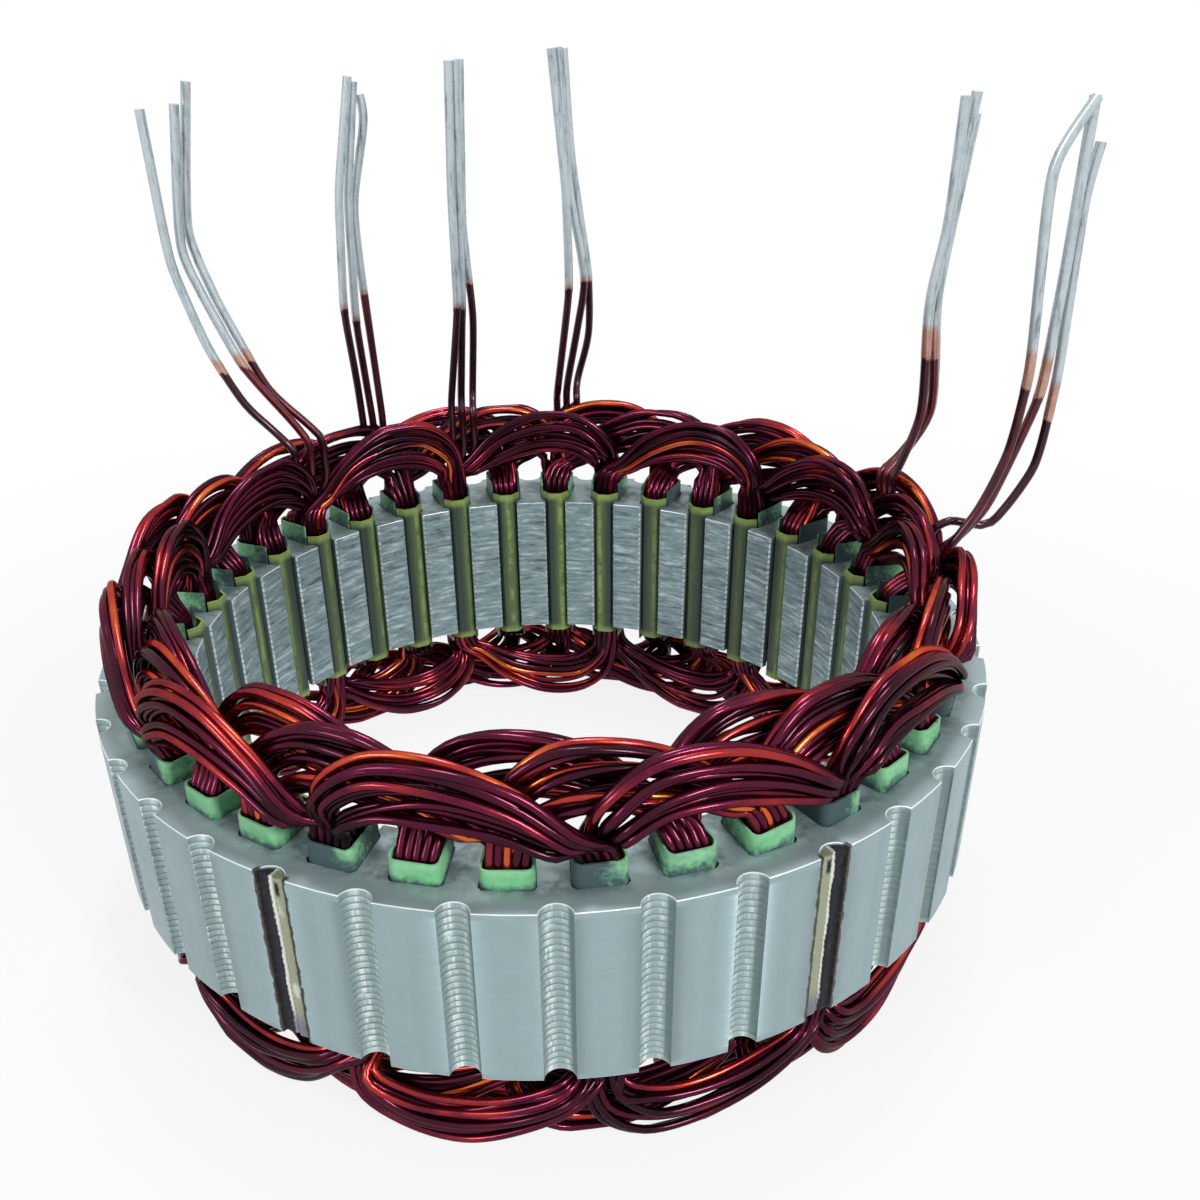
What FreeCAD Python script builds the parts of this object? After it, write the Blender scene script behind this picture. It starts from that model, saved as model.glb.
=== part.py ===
import FreeCAD, Part
import math
import os

os.makedirs("parts", exist_ok=True)
V = FreeCAD.Vector

# Stator of a claw-pole alternator, in millimetres.
# Origin on the bore axis at half the stack height, +Z along the axis towards the leads.

# Pole and slot pattern: one slot for each pole and phase.
phase_names = ("a", "b", "c")
phase_count = len(phase_names)
pole_pairs = 6
pole_count = 2 * pole_pairs
slot_count = phase_count * pole_count
slot_pitch = 360.0 / slot_count
first_slot_angle = -85.0

# Laminated core.
core_outer_diameter = 134.0
stack_height = 26.4
yoke_width = 4.2
slot_depth = 9.8
tooth_share = 0.427
opening_share = 0.4162
tip_thickness = 1.2
tip_slope = 1.0
slot_corner = 0.6
groove_radius = 2.05
groove_depth = 1.9

# Weld beads that tie the stack together, in every sixth groove.
weld_count = 6
weld_bead_share = 0.95
weld_bead_crown = 0.25
weld_bead_end_gap = 0.3
weld_seat_gap = 0.05

# Slot liners, one folded sheet to a slot.
liner_thickness = 0.3
liner_seat_gap = 0.08
liner_projection = 2.3

# Slot wedges, one folded strip behind each pair of tooth tips.
wedge_thickness = 0.4
wedge_side_reach = 0.9
wedge_recess = 0.55
wedge_seat_gap = 0.1
wedge_projection = 1.5
wedge_liner_gap = 0.15

# Winding bundles. Two wave groups share each slot, one behind the other.
winding_seat_gap = 0.2
group_gap = 0.16
bundle_rise = 0.2
crown_height = 18.0
crown_setback = 3.2
crown_layer_thickness = 2.6
crown_layer_gap = 0.6
crown_lean = 0.12
crown_lean_height = 12.0
bundle_edge_bevel = 0.15
split_height = 2.3
split_half_width = 3.2
split_share = 0.8

# Rise of one coil arch: travel share and height share of its low edge, then of its high edge.
# Every arch climbs slowly out of one slot and hooks steeply down into the next slot of its phase.
arch_stations = (
    (0.160, 0.16, 0.080, 0.36),
    (0.360, 0.25, 0.280, 0.72),
    (0.580, 0.32, 0.560, 0.97),
    (0.780, 0.29, 0.840, 0.93),
    (0.920, 0.20, 1.020, 0.62),
)

# Lead wires, three in hand at both ends of each phase.
lead_diameter = 1.6
lead_spacing = 1.8
lead_seat_gap = 0.3
lead_sides = 6

# Leads of each phase's two ends. Each wire: the angle where it leaves its own crown layer, then its
# bends as (sideways from the middle wire's foot, height above the core).
lead_sets = {
    ("c", "start"): (
        (137.8, ((-5.6, 21.5), (-9.6, 25.8), (-14.3, 35.7), (-18.1, 49.4), (-18.7, 72.7))),
        (134.2, ((-0.9, 20.3), (-9.3, 31.8), (-13.8, 43.0), (-16.6, 51.0), (-13.7, 73.1))),
        (131.2, ((1.2, 19.8), (-5.9, 27.1), (-12.5, 42.9), (-15.5, 53.5), (-11.8, 76.0))),
    ),
    ("b", "start"): (
        (121.0, ((-1.9, 26.0), (-2.9, 38.5), (-1.7, 57.5), (1.7, 75.3))),
        (119.1, ((-0.4, 24.0), (-1.2, 36.2), (-0.5, 56.0), (2.3, 74.4))),
        (117.2, ((1.2, 27.0), (0.3, 44.5), (0.1, 55.0), (3.4, 68.5), (2.9, 72.3))),
    ),
    ("c", "finish"): (
        (104.7, ((-1.7, 20.0), (0.6, 37.5), (0.7, 56.6), (1.5, 76.8))),
        (102.7, ((0.1, 20.0), (1.3, 36.9), (2.4, 76.7))),
        (100.6, ((2.2, 20.0), (3.2, 35.0), (2.1, 50.1), (3.2, 76.7))),
    ),
    ("a", "finish"): (
        (84.7, ((-1.7, 20.0), (0.8, 38.3), (0.5, 55.0), (-1.6, 77.6))),
        (83.0, ((0.1, 20.0), (2.0, 29.4), (3.9, 39.4), (1.1, 55.0), (-0.4, 77.6))),
        (81.2, ((2.0, 20.0), (4.6, 29.0), (4.6, 39.5), (1.6, 60.2), (0.6, 77.3))),
    ),
    ("b", "finish"): (
        (13.2, ((0.9, 19.6), (3.6, 27.8), (2.5, 45.7), (3.9, 56.0), (4.0, 73.3))),
        (15.0, ((1.0, 19.6), (5.8, 27.5), (4.0, 45.2), (4.6, 58.4), (6.1, 73.6))),
        (16.8, ((1.4, 19.6), (6.5, 27.0), (4.7, 45.2), (6.9, 70.6))),
    ),
    ("a", "start"): (
        (0.9, ((4.3, 17.0), (7.5, 26.2), (8.5, 38.0), (6.8, 66.2), (11.3, 74.0))),
        (2.7, ((2.6, 12.2), (6.2, 16.8), (11.4, 34.0), (11.8, 52.3), (11.6, 74.0))),
        (4.5, ((1.4, 14.3), (4.0, 13.7), (8.0, 12.9), (13.5, 22.3), (14.3, 36.0), (13.5, 61.3), (14.4, 68.1))),
    ),
}

core_radius = core_outer_diameter / 2
slot_bottom = core_radius - yoke_width
bore_radius = slot_bottom - slot_depth
half_stack = stack_height / 2
half_pitch = math.radians(slot_pitch / 2)
bore_pitch = 2 * math.pi * bore_radius / slot_count
tooth_width = tooth_share * bore_pitch
slot_opening = opening_share * bore_pitch
crown_outer_radius = core_radius - crown_setback
coil_span = phase_count * slot_pitch
bend_start = liner_projection + bundle_rise


def polar(radius, angle, z=0.0):
    """Point at a radius and an angle in degrees."""
    a = math.radians(angle)
    return V(radius * math.cos(a), radius * math.sin(a), z)


def around(points, angle, z=0.0):
    """Points given as (sideways, outwards) of a radial line, placed at its angle."""
    a = math.radians(angle)
    c = math.cos(a)
    s = math.sin(a)
    return [V(y * c - x * s, y * s + x * c, z) for x, y in points]


def prism(points, z0, z1):
    """Closed polygon drawn at z0 and extruded to z1."""
    base = [V(p.x, p.y, z0) for p in points]
    wire = Part.makePolygon(base + [base[0]])
    return Part.Face(wire).extrude(V(0, 0, z1 - z0))


def skin(sections, closed):
    """Solid through a chain of sections with equal corner counts, in flat facets."""
    chain = list(sections)
    pairs = list(zip(chain, chain[1:]))
    if closed:
        pairs.append((chain[-1], chain[0]))
    faces = []
    for low, high in pairs:
        for i in range(len(low)):
            j = (i + 1) % len(low)
            outer_i = (low[i] + high[j]).Length
            outer_j = (low[j] + high[i]).Length
            if outer_i >= outer_j:
                facets = ((low[i], low[j], high[j]), (low[i], high[j], high[i]))
            else:
                facets = ((low[i], low[j], high[i]), (low[j], high[j], high[i]))
            for a, b, c in facets:
                faces.append(Part.Face(Part.makePolygon([a, b, c, a])))
    if not closed:
        for end in (chain[0], chain[-1]):
            faces.append(Part.Face(Part.makePolygon(end + [end[0]])))
    solid = Part.makeSolid(Part.makeShell(faces))
    if solid.Volume < 0:
        solid.reverse()
    return solid


def save(name, shapes):
    """Write one node, a single solid or a group of separate solids."""
    shape = shapes[0] if len(shapes) == 1 else Part.makeCompound(shapes)
    shape.exportStep("parts/" + name + ".step")
    volume = sum(s.Volume for s in shapes)
    print(name, len(shapes), "solid(s)", round(volume, 1), "mm3", all(s.isValid() for s in shapes))


def slot_angle(index):
    return first_slot_angle + slot_pitch * index


def phase_angle(phase):
    """Angle of a phase's first slot; the phases follow each other clockwise."""
    return slot_angle(-phase % phase_count)


def slot_half_width(outwards, inset):
    """Half the slot's width at a distance from the axis, inset from the parallel tooth sides."""
    return (outwards * math.sin(half_pitch) - tooth_width / 2 - inset) / math.cos(half_pitch)


def slot_side(mouth, inset):
    """One side of the slot outline, from the mouth to the middle of its bottom."""
    bottom = slot_bottom - inset
    corner = slot_corner - inset * (2 - math.sqrt(2))
    knee = bottom - corner
    return [
        (slot_half_width(mouth, inset), mouth),
        (slot_half_width(knee, inset), knee),
        (slot_half_width(bottom, inset) - corner, bottom),
    ]


def mirrored(points):
    return [(-x, y) for x, y in reversed(points)]


tip_top = bore_radius + tip_thickness
wall_start = tip_top + tip_slope


def core_face():
    """One lamination: grooved outside, slots open to the bore inside."""
    groove_axis = core_radius - groove_depth + groove_radius
    cosine = (core_radius ** 2 + groove_axis ** 2 - groove_radius ** 2) / (2 * core_radius * groove_axis)
    groove_half = math.degrees(math.acos(cosine))
    outside = []
    inside = []
    opening_root = math.sqrt(bore_radius ** 2 - (slot_opening / 2) ** 2)
    side = [(slot_opening / 2, opening_root), (slot_opening / 2, tip_top)] + slot_side(wall_start, 0.0)
    for k in range(slot_count):
        middle = slot_angle(k) - slot_pitch / 2
        outside.append(Part.Arc(
            polar(core_radius, middle - groove_half),
            polar(core_radius - groove_depth, middle),
            polar(core_radius, middle + groove_half),
        ).toShape())
        outside.append(Part.Arc(
            polar(core_radius, middle + groove_half),
            polar(core_radius, middle + slot_pitch / 2),
            polar(core_radius, middle + slot_pitch - groove_half),
        ).toShape())
        outline = around([(-x, y) for x, y in side] + side[::-1], slot_angle(k))
        inside.extend(Part.makeLine(a, b) for a, b in zip(outline, outline[1:]))
        next_start = around([(-slot_opening / 2, opening_root)], slot_angle(k + 1))[0]
        inside.append(Part.Arc(
            outline[-1],
            polar(bore_radius, slot_angle(k) + slot_pitch / 2),
            next_start,
        ).toShape())
    outer_wire = Part.Wire(Part.__sortEdges__(outside))
    inner_wire = Part.Wire(Part.__sortEdges__(inside))
    return Part.makeFace([outer_wire, inner_wire], "Part::FaceMakerBullseye")


def laminated_core():
    face = core_face()
    face.translate(V(0, 0, -half_stack))
    return face.extrude(V(0, 0, stack_height))


def weld_bead(angle):
    """Bead that fills the bottom of one groove and bulges towards the outside."""
    axis = core_radius - groove_depth + groove_radius
    radius = groove_radius - weld_seat_gap
    reach = radius * weld_bead_share
    drop = math.sqrt(radius ** 2 - reach ** 2)
    shoulder = axis - drop
    left, right = around([(-reach, shoulder), (reach, shoulder)], angle)
    bottom = polar(axis - radius, angle)
    crown = polar(shoulder + weld_bead_crown, angle)
    wire = Part.Wire([Part.Arc(left, bottom, right).toShape(), Part.Arc(right, crown, left).toShape()])
    face = Part.Face(wire)
    z0 = weld_bead_end_gap - half_stack
    face.translate(V(0, 0, z0))
    return face.extrude(V(0, 0, -2 * z0))


def wedge_outline():
    """Half of the folded strip: a flat towards the bore, and a side laid along the tip's back."""
    front = bore_radius + wedge_recess
    slope = (slot_half_width(wall_start, 0.0) - slot_opening / 2) / tip_slope
    stretch = math.hypot(1.0, slope)
    at_tip = slot_opening / 2 - wedge_seat_gap * stretch
    outer_fold = (at_tip - (tip_top - front) * slope, front)
    outer_end = (at_tip + wedge_side_reach * slope, tip_top + wedge_side_reach)
    inner_end = (outer_end[0] - wedge_thickness / stretch, outer_end[1] + wedge_thickness * slope / stretch)
    inner_fold = (outer_fold[0] + wedge_thickness * (slope - stretch), front + wedge_thickness)
    return [outer_fold, outer_end, inner_end, inner_fold]


wedge_half = wedge_outline()
wedge_back = max(y for x, y in wedge_half)


def slot_wedge(angle):
    outline = wedge_half + mirrored(wedge_half)
    reach = half_stack + wedge_projection
    return prism(around(outline, angle), -reach, reach)


liner_mouth = wedge_back + wedge_liner_gap


def slot_liner(angle):
    outer = slot_side(liner_mouth, liner_seat_gap)
    inner = slot_side(liner_mouth, liner_seat_gap + liner_thickness)
    outline = outer + mirrored(outer) + [(-x, y) for x, y in inner] + list(reversed(inner))
    reach = half_stack + liner_projection
    return prism(around(outline, angle), -reach, reach)


# The copper fills the liner from the wedge to the slot's bottom.
copper_inset = liner_seat_gap + liner_thickness + winding_seat_gap
copper_inner = wedge_back + winding_seat_gap
copper_outer = slot_bottom - copper_inset
copper_middle = (copper_inner + copper_outer) / 2


def layer_range(phase, height):
    """Inner and outer radius of one phase's crown layer at a height above the core."""
    outer = crown_outer_radius - phase * (crown_layer_thickness + crown_layer_gap)
    outer += crown_lean * (crown_lean_height - height)
    return outer - crown_layer_thickness, outer


def hexagon(corners, bevel):
    """Four corners (high inner, high outer, low outer, low inner) with crowned long sides."""
    high_in, high_out, low_out, low_in = corners
    out_mid = [(a + b) / 2 for a, b in zip(high_out, low_out)]
    in_mid = [(a + b) / 2 for a, b in zip(high_in, low_in)]
    out_mid[1] += bevel
    in_mid[1] -= bevel
    return [high_in, high_out, tuple(out_mid), low_out, low_in, tuple(in_mid)]


def root_sections(outer_group, phase):
    """Two sections at a slot, as (towards the arch, radius, height above the core).

    The first is the group's half of the straight bundle; the second is its share of the
    bundle where the two groups part, cut by a diagonal.
    """
    top = split_height + bend_start
    low_in, low_out = layer_range(phase, top)
    a = split_half_width
    inner = copper_inner + (low_in - copper_inner) * split_share
    outer = copper_outer + (low_out - copper_outer) * split_share
    gap = group_gap / 2
    if outer_group:
        near = copper_middle + gap
        far = copper_outer
        half_near = slot_half_width(near, copper_inset)
        half_far = slot_half_width(far, copper_inset)
        straight = [(half_near, near), (-half_near, near), (-half_far, far), (half_far, far)]
        parting = [(a, inner + gap * 2), (gap * 2 - a, outer), (a * 0.2, outer), (a, outer)]
    else:
        near = copper_middle - gap
        far = copper_inner
        half_near = slot_half_width(near, copper_inset)
        half_far = slot_half_width(far, copper_inset)
        straight = [(-half_near, near), (half_near, near), (half_far, far), (-half_far, far)]
        parting = [(gap * 2 - a, inner), (a, outer - gap * 2), (a, inner), (a * 0.2, inner)]
    lower = [(x, r, bend_start) for x, r in straight]
    upper = [(x, r, top) for x, r in parting]
    return hexagon(lower, 0.0), hexagon(upper, 0.0)


def arch(start_angle, phase, outer_group, end):
    """Sections of one coil arch from a slot to the phase's next slot clockwise."""
    straight, parting = root_sections(outer_group, phase)

    def place(section, angle, towards):
        placed = []
        for x, r, h in section:
            turn = math.degrees(math.atan2(x, r)) * towards
            placed.append(polar(math.hypot(x, r), angle + turn, end * (half_stack + h)))
        return placed

    sections = [place(straight, start_angle, -1), place(parting, start_angle, -1)]
    climb = crown_height - bend_start
    for low_share, low_rise, high_share, high_rise in arch_stations:
        low_h = bend_start + climb * low_rise
        high_h = bend_start + climb * high_rise
        low_in, low_out = layer_range(phase, low_h)
        high_in, high_out = layer_range(phase, high_h)
        b = bundle_edge_bevel
        corners = [
            (high_share, high_in + b, high_h),
            (high_share, high_out - b, high_h),
            (low_share, low_out - b, low_h),
            (low_share, low_in + b, low_h),
        ]
        section = hexagon(corners, b)
        turned = [(start_angle - coil_span * f, r, h) for f, r, h in section]
        sections.append([polar(r, angle, end * (half_stack + h)) for angle, r, h in turned])
    sections.append(place(parting, start_angle - coil_span, 1))
    sections.append(place(straight, start_angle - coil_span, 1))
    return sections


def wave_group(phase, outer_group):
    """One closed wave through every slot of a phase, over and under the core in turn."""
    chain = []
    first_pole = 0 if outer_group else 1
    for step in range(pole_count):
        angle = phase_angle(phase) + coil_span * (first_pole - step)
        end = 1 if step % 2 == 0 else -1
        sections = arch(angle, phase, outer_group, end)
        if end < 0:
            sections = [swap_sides(s) for s in sections]
        chain.extend(sections)
    return skin(chain, True)


def swap_sides(section):
    """Renumber a section seen from its other side, so that the leg's corners meet."""
    high_in, high_out, out_mid, low_out, low_in, in_mid = section
    return [high_in, in_mid, low_in, low_out, out_mid, high_out]


def arch_top(phase, angle):
    """Height of a phase's high edge above the core at an angle."""
    start = phase_angle(phase)
    share = ((start - angle) / coil_span) % 1.0
    climb = crown_height - bend_start
    knots = [(f + lap, bend_start + climb * g) for lap in (-1.0, 0.0, 1.0) for _, _, f, g in arch_stations]
    for (f0, h0), (f1, h1) in zip(knots, knots[1:]):
        if f0 <= share <= f1:
            return h0 + (h1 - h0) * (share - f0) / (f1 - f0)


def bar(points, diameter, sides):
    """Bent wire with flat sides, mitred at its bends and square at its ends."""
    sections = []
    for i, p in enumerate(points):
        before = (p - points[i - 1]).normalize() if i > 0 else None
        after = (points[i + 1] - p).normalize() if i < len(points) - 1 else None
        along = before or after
        if before and after:
            along = (before + after).normalize()
        side = along.cross(V(0, 1, 0)).normalize()
        up = side.cross(along).normalize()
        ring = []
        for k in range(sides):
            a = 2 * math.pi * (k + 0.5) / sides
            ring.append(p + side * (math.cos(a) * diameter / 2) + up * (math.sin(a) * diameter / 2))
        sections.append(ring)
    return skin(sections, False)


def lead_set(phase, wires):
    """Three wires that rise out of their phase's crown layer."""
    seats = []
    for angle, bends in wires:
        width = math.degrees(lead_diameter / 2 / (crown_outer_radius - crown_layer_thickness * (phase + 1)))
        height = max(arch_top(phase, angle + turn) for turn in (-width, 0.0, width)) + lead_seat_gap
        inner, outer = layer_range(phase, height)
        seats.append(polar((inner + outer) / 2, angle, half_stack + height))
    foot = seats[1]
    solids = []
    for i, (angle, bends) in enumerate(wires):
        depth = foot.y + (i - 1) * lead_spacing
        points = [seats[i]]
        if bends[0][1] > crown_height:
            inner, outer = layer_range(phase, crown_height)
            points.append(polar((inner + outer) / 2, angle, half_stack + crown_height))
        points.extend(V(foot.x + x, depth, half_stack + h) for x, h in bends)
        solids.append(bar(points, lead_diameter, lead_sides))
    return solids


save("laminated_core", [laminated_core()])
groove_step = slot_count // weld_count
weld_angles = [slot_angle(k * groove_step) + slot_pitch / 2 + slot_pitch * 2 for k in range(weld_count)]
save("core_weld_beads", [weld_bead(a) for a in weld_angles])
for k in range(slot_count):
    save("slot_liner_%02d" % (k + 1), [slot_liner(slot_angle(k))])
for pole in range(pole_count):
    slots = range(pole * phase_count, (pole + 1) * phase_count)
    save("slot_wedges_pole_%02d" % (pole + 1), [slot_wedge(slot_angle(k)) for k in slots])
for phase, name in enumerate(phase_names):
    save("phase_%s_winding" % name, [wave_group(phase, True), wave_group(phase, False)])
for (letter, end), wires in lead_sets.items():
    save("phase_%s_%s_leads" % (letter, end), lead_set(phase_names.index(letter), wires))
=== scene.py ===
"""Looks of an alternator stator: welded lamination stack, lined slots, wave winding and lead wires.

Everything is in metres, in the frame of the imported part: the origin lies on the bore axis at half
the stack height, +Z points along the axis towards the leads.
"""

import logging
import math
import random
from contextlib import contextmanager
from dataclasses import dataclass
from enum import Enum
from typing import Callable, Iterable, Iterator, Sequence

import bmesh
import bpy
from mathutils import Matrix, Vector


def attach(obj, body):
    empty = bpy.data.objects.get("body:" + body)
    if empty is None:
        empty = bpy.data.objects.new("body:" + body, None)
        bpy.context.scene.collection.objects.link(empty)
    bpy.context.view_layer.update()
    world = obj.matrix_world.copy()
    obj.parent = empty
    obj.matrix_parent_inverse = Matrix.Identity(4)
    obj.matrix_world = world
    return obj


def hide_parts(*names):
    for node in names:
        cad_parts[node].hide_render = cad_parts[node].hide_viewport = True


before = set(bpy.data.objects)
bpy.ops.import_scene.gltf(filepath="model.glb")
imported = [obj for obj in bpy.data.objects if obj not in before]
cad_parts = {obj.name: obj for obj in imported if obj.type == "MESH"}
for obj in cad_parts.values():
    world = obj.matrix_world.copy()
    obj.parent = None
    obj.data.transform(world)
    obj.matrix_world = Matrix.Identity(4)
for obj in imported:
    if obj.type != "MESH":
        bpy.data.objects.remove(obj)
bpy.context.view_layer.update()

logging.basicConfig(level=logging.INFO, format="%(message)s")
log = logging.getLogger("stator")

MM = 0.001
TOUCH = 0.01
WELD_ANGLES = tuple(-60.0 + 60.0 * k for k in range(6))
Point = tuple[float, float, float]
Colour = tuple[float, float, float, float]


def polar(radius: float, angle: float, height: float = 0.0) -> Vector:
    """Point at a radius in millimetres, an angle in degrees and a height in millimetres."""
    turn = math.radians(angle)
    return Vector((radius * math.cos(turn), radius * math.sin(turn), height)) * MM


def lerp(a: float, b: float, share: float) -> float:
    """Value at a share of the way from a to b."""
    return a + (b - a) * share


def blend(a: Vector, b: Vector, start: float, end: float, now: float) -> Vector:
    """Point on the way from a, at start, to b, at end."""
    return a * ((end - now) / (end - start)) + b * ((now - start) / (end - start))


class PhaseLayer(Enum):
    """The three phases; the value gives the crown layer from the outside and the first slot."""

    A = ("a", 0, 0)
    B = ("b", 1, 2)
    C = ("c", 2, 1)

    @property
    def letter(self) -> str:
        """Letter used in the node names."""
        return self.value[0]

    @property
    def layer(self) -> int:
        """Place of the crown layer, counted from the outside."""
        return self.value[1]

    @property
    def first_slot(self) -> int:
        """Slot of the first pole that the phase starts from."""
        return self.value[2]


class WireGroup(Enum):
    """The two wave groups that share every slot of a phase."""

    REAR = "rear"
    FRONT = "front"


class SteelZone(Enum):
    """Kinds of surface on the core; the value is what the material reads."""

    END_FACE = 0.0
    WALL = 1.0
    GROOVE = 2.0
    TOOTH = 3.0


@dataclass(frozen=True)
class SlotLayout:
    """Slot and pole pattern with the sizes that the other pieces lean on, in millimetres."""

    poles: int = 12
    phases: int = 3
    first_angle: float = -85.0
    outer_radius: float = 67.0
    bore_radius: float = 53.0
    half_stack: float = 13.2
    slot_bottom: float = 62.8
    tooth_width: float = 3.95
    opening: float = 3.85
    groove_depth: float = 1.9
    groove_radius: float = 2.05

    @property
    def count(self) -> int:
        """Number of slots."""
        return self.poles * self.phases

    @property
    def pitch(self) -> float:
        """Angle between slots in degrees."""
        return 360.0 / self.count

    @property
    def span(self) -> float:
        """Angle of one coil arch in degrees."""
        return self.pitch * self.phases

    def angle(self, slot: int) -> float:
        """Angle of a slot's middle line."""
        return self.first_angle + self.pitch * slot

    def half_width(self, outwards: float, inset: float) -> float:
        """Half the slot's width at a distance from the axis, inset from its sides."""
        half = math.radians(self.pitch / 2)
        return (outwards * math.sin(half) - self.tooth_width / 2 - inset) / math.cos(half)


LAYOUT = SlotLayout()


class Mesher:
    """Modelling steps that every sub-assembly shares."""

    @staticmethod
    def only(obj: bpy.types.Object) -> None:
        """Leave one object selected and active."""
        bpy.ops.object.select_all(action="DESELECT")
        obj.select_set(True)
        bpy.context.view_layer.objects.active = obj

    @staticmethod
    def link(name: str, data: bpy.types.ID) -> bpy.types.Object:
        """Put new data into the scene as an object at the origin, alone in the selection."""
        obj = bpy.data.objects.new(name, data)
        bpy.context.scene.collection.objects.link(obj)
        Mesher.only(obj)
        return obj

    @staticmethod
    def adopt(name: str) -> bpy.types.Object:
        """Name the active object and its mesh, and leave it alone in the selection."""
        obj = bpy.context.active_object
        obj.name = name
        obj.data.name = name
        Mesher.only(obj)
        return obj

    @staticmethod
    def join(parts: Sequence[bpy.types.Object], name: str) -> bpy.types.Object:
        """Join objects into one piece with a name of its own."""
        Mesher.only(parts[0])
        for part in parts:
            part.select_set(True)
        bpy.ops.object.join()
        return Mesher.adopt(name)

    @staticmethod
    @contextmanager
    def editing(obj: bpy.types.Object) -> Iterator[None]:
        """Edit mode on one object, selected all over, until the block ends."""
        Mesher.only(obj)
        bpy.ops.object.mode_set(mode="EDIT")
        bpy.ops.mesh.select_all(action="SELECT")
        yield
        bpy.ops.object.mode_set(mode="OBJECT")

    @staticmethod
    def copy_node(node: str, name: str) -> bpy.types.Object:
        """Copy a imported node's mesh into a new object and merge its loose triangles.

        Args:
            node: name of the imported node.
            name: name of the new piece.

        Returns:
            The new object at the origin.
        """
        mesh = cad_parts[node].data.copy()
        mesh.materials.clear()
        obj = Mesher.link(name, mesh)
        with Mesher.editing(obj):
            bpy.ops.mesh.remove_doubles(threshold=1e-6)
        return obj

    @staticmethod
    def pick_faces(obj: bpy.types.Object, test: Callable[[bmesh.types.BMFace], bool]) -> None:
        """Select the faces that pass a test and no others, in edit mode."""
        mesh = bmesh.from_edit_mesh(obj.data)
        chosen = [face for face in mesh.faces if test(face)]
        for face in mesh.faces:
            face.select_set(False)
        for face in chosen:
            face.select_set(True)
        bmesh.update_edit_mesh(obj.data)

    @staticmethod
    def pick_edges(obj: bpy.types.Object, test: Callable[[bmesh.types.BMEdge], bool]) -> None:
        """Select the edges that pass a test and no others, in edit mode."""
        bpy.ops.mesh.select_mode(type="EDGE")
        bpy.ops.mesh.select_all(action="DESELECT")
        for edge in bmesh.from_edit_mesh(obj.data).edges:
            if test(edge):
                edge.select_set(True)
        bmesh.update_edit_mesh(obj.data)

    @staticmethod
    def cut(level: float) -> None:
        """Cut what is selected across at a height in millimetres."""
        bpy.ops.mesh.bisect(plane_co=(0.0, 0.0, level * MM), plane_no=(0.0, 0.0, 1.0))

    @staticmethod
    def cut_all(levels: Iterable[float]) -> None:
        """Cut the whole edited mesh across at heights in millimetres."""
        for level in levels:
            bpy.ops.mesh.select_all(action="SELECT")
            Mesher.cut(level)

    @staticmethod
    def store(obj: bpy.types.Object, domain: str, **values: Sequence[float]) -> None:
        """Store numbers for the points or faces, under names that materials can read."""
        for name, numbers in values.items():
            layer = obj.data.attributes.new(name, "FLOAT", domain)
            layer.data.foreach_set("value", numbers)

    @staticmethod
    def finish(obj: bpy.types.Object, material: bpy.types.Material, slot: str, node: str) -> None:
        """Give a finished piece its material and its body, and hide the node that it stands for."""
        obj.data.materials.clear()
        obj.data.materials.append(material)
        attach(obj, "root")
        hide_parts(node)
        log.info("%s: %d faces", obj.name, len(obj.data.polygons))


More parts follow.
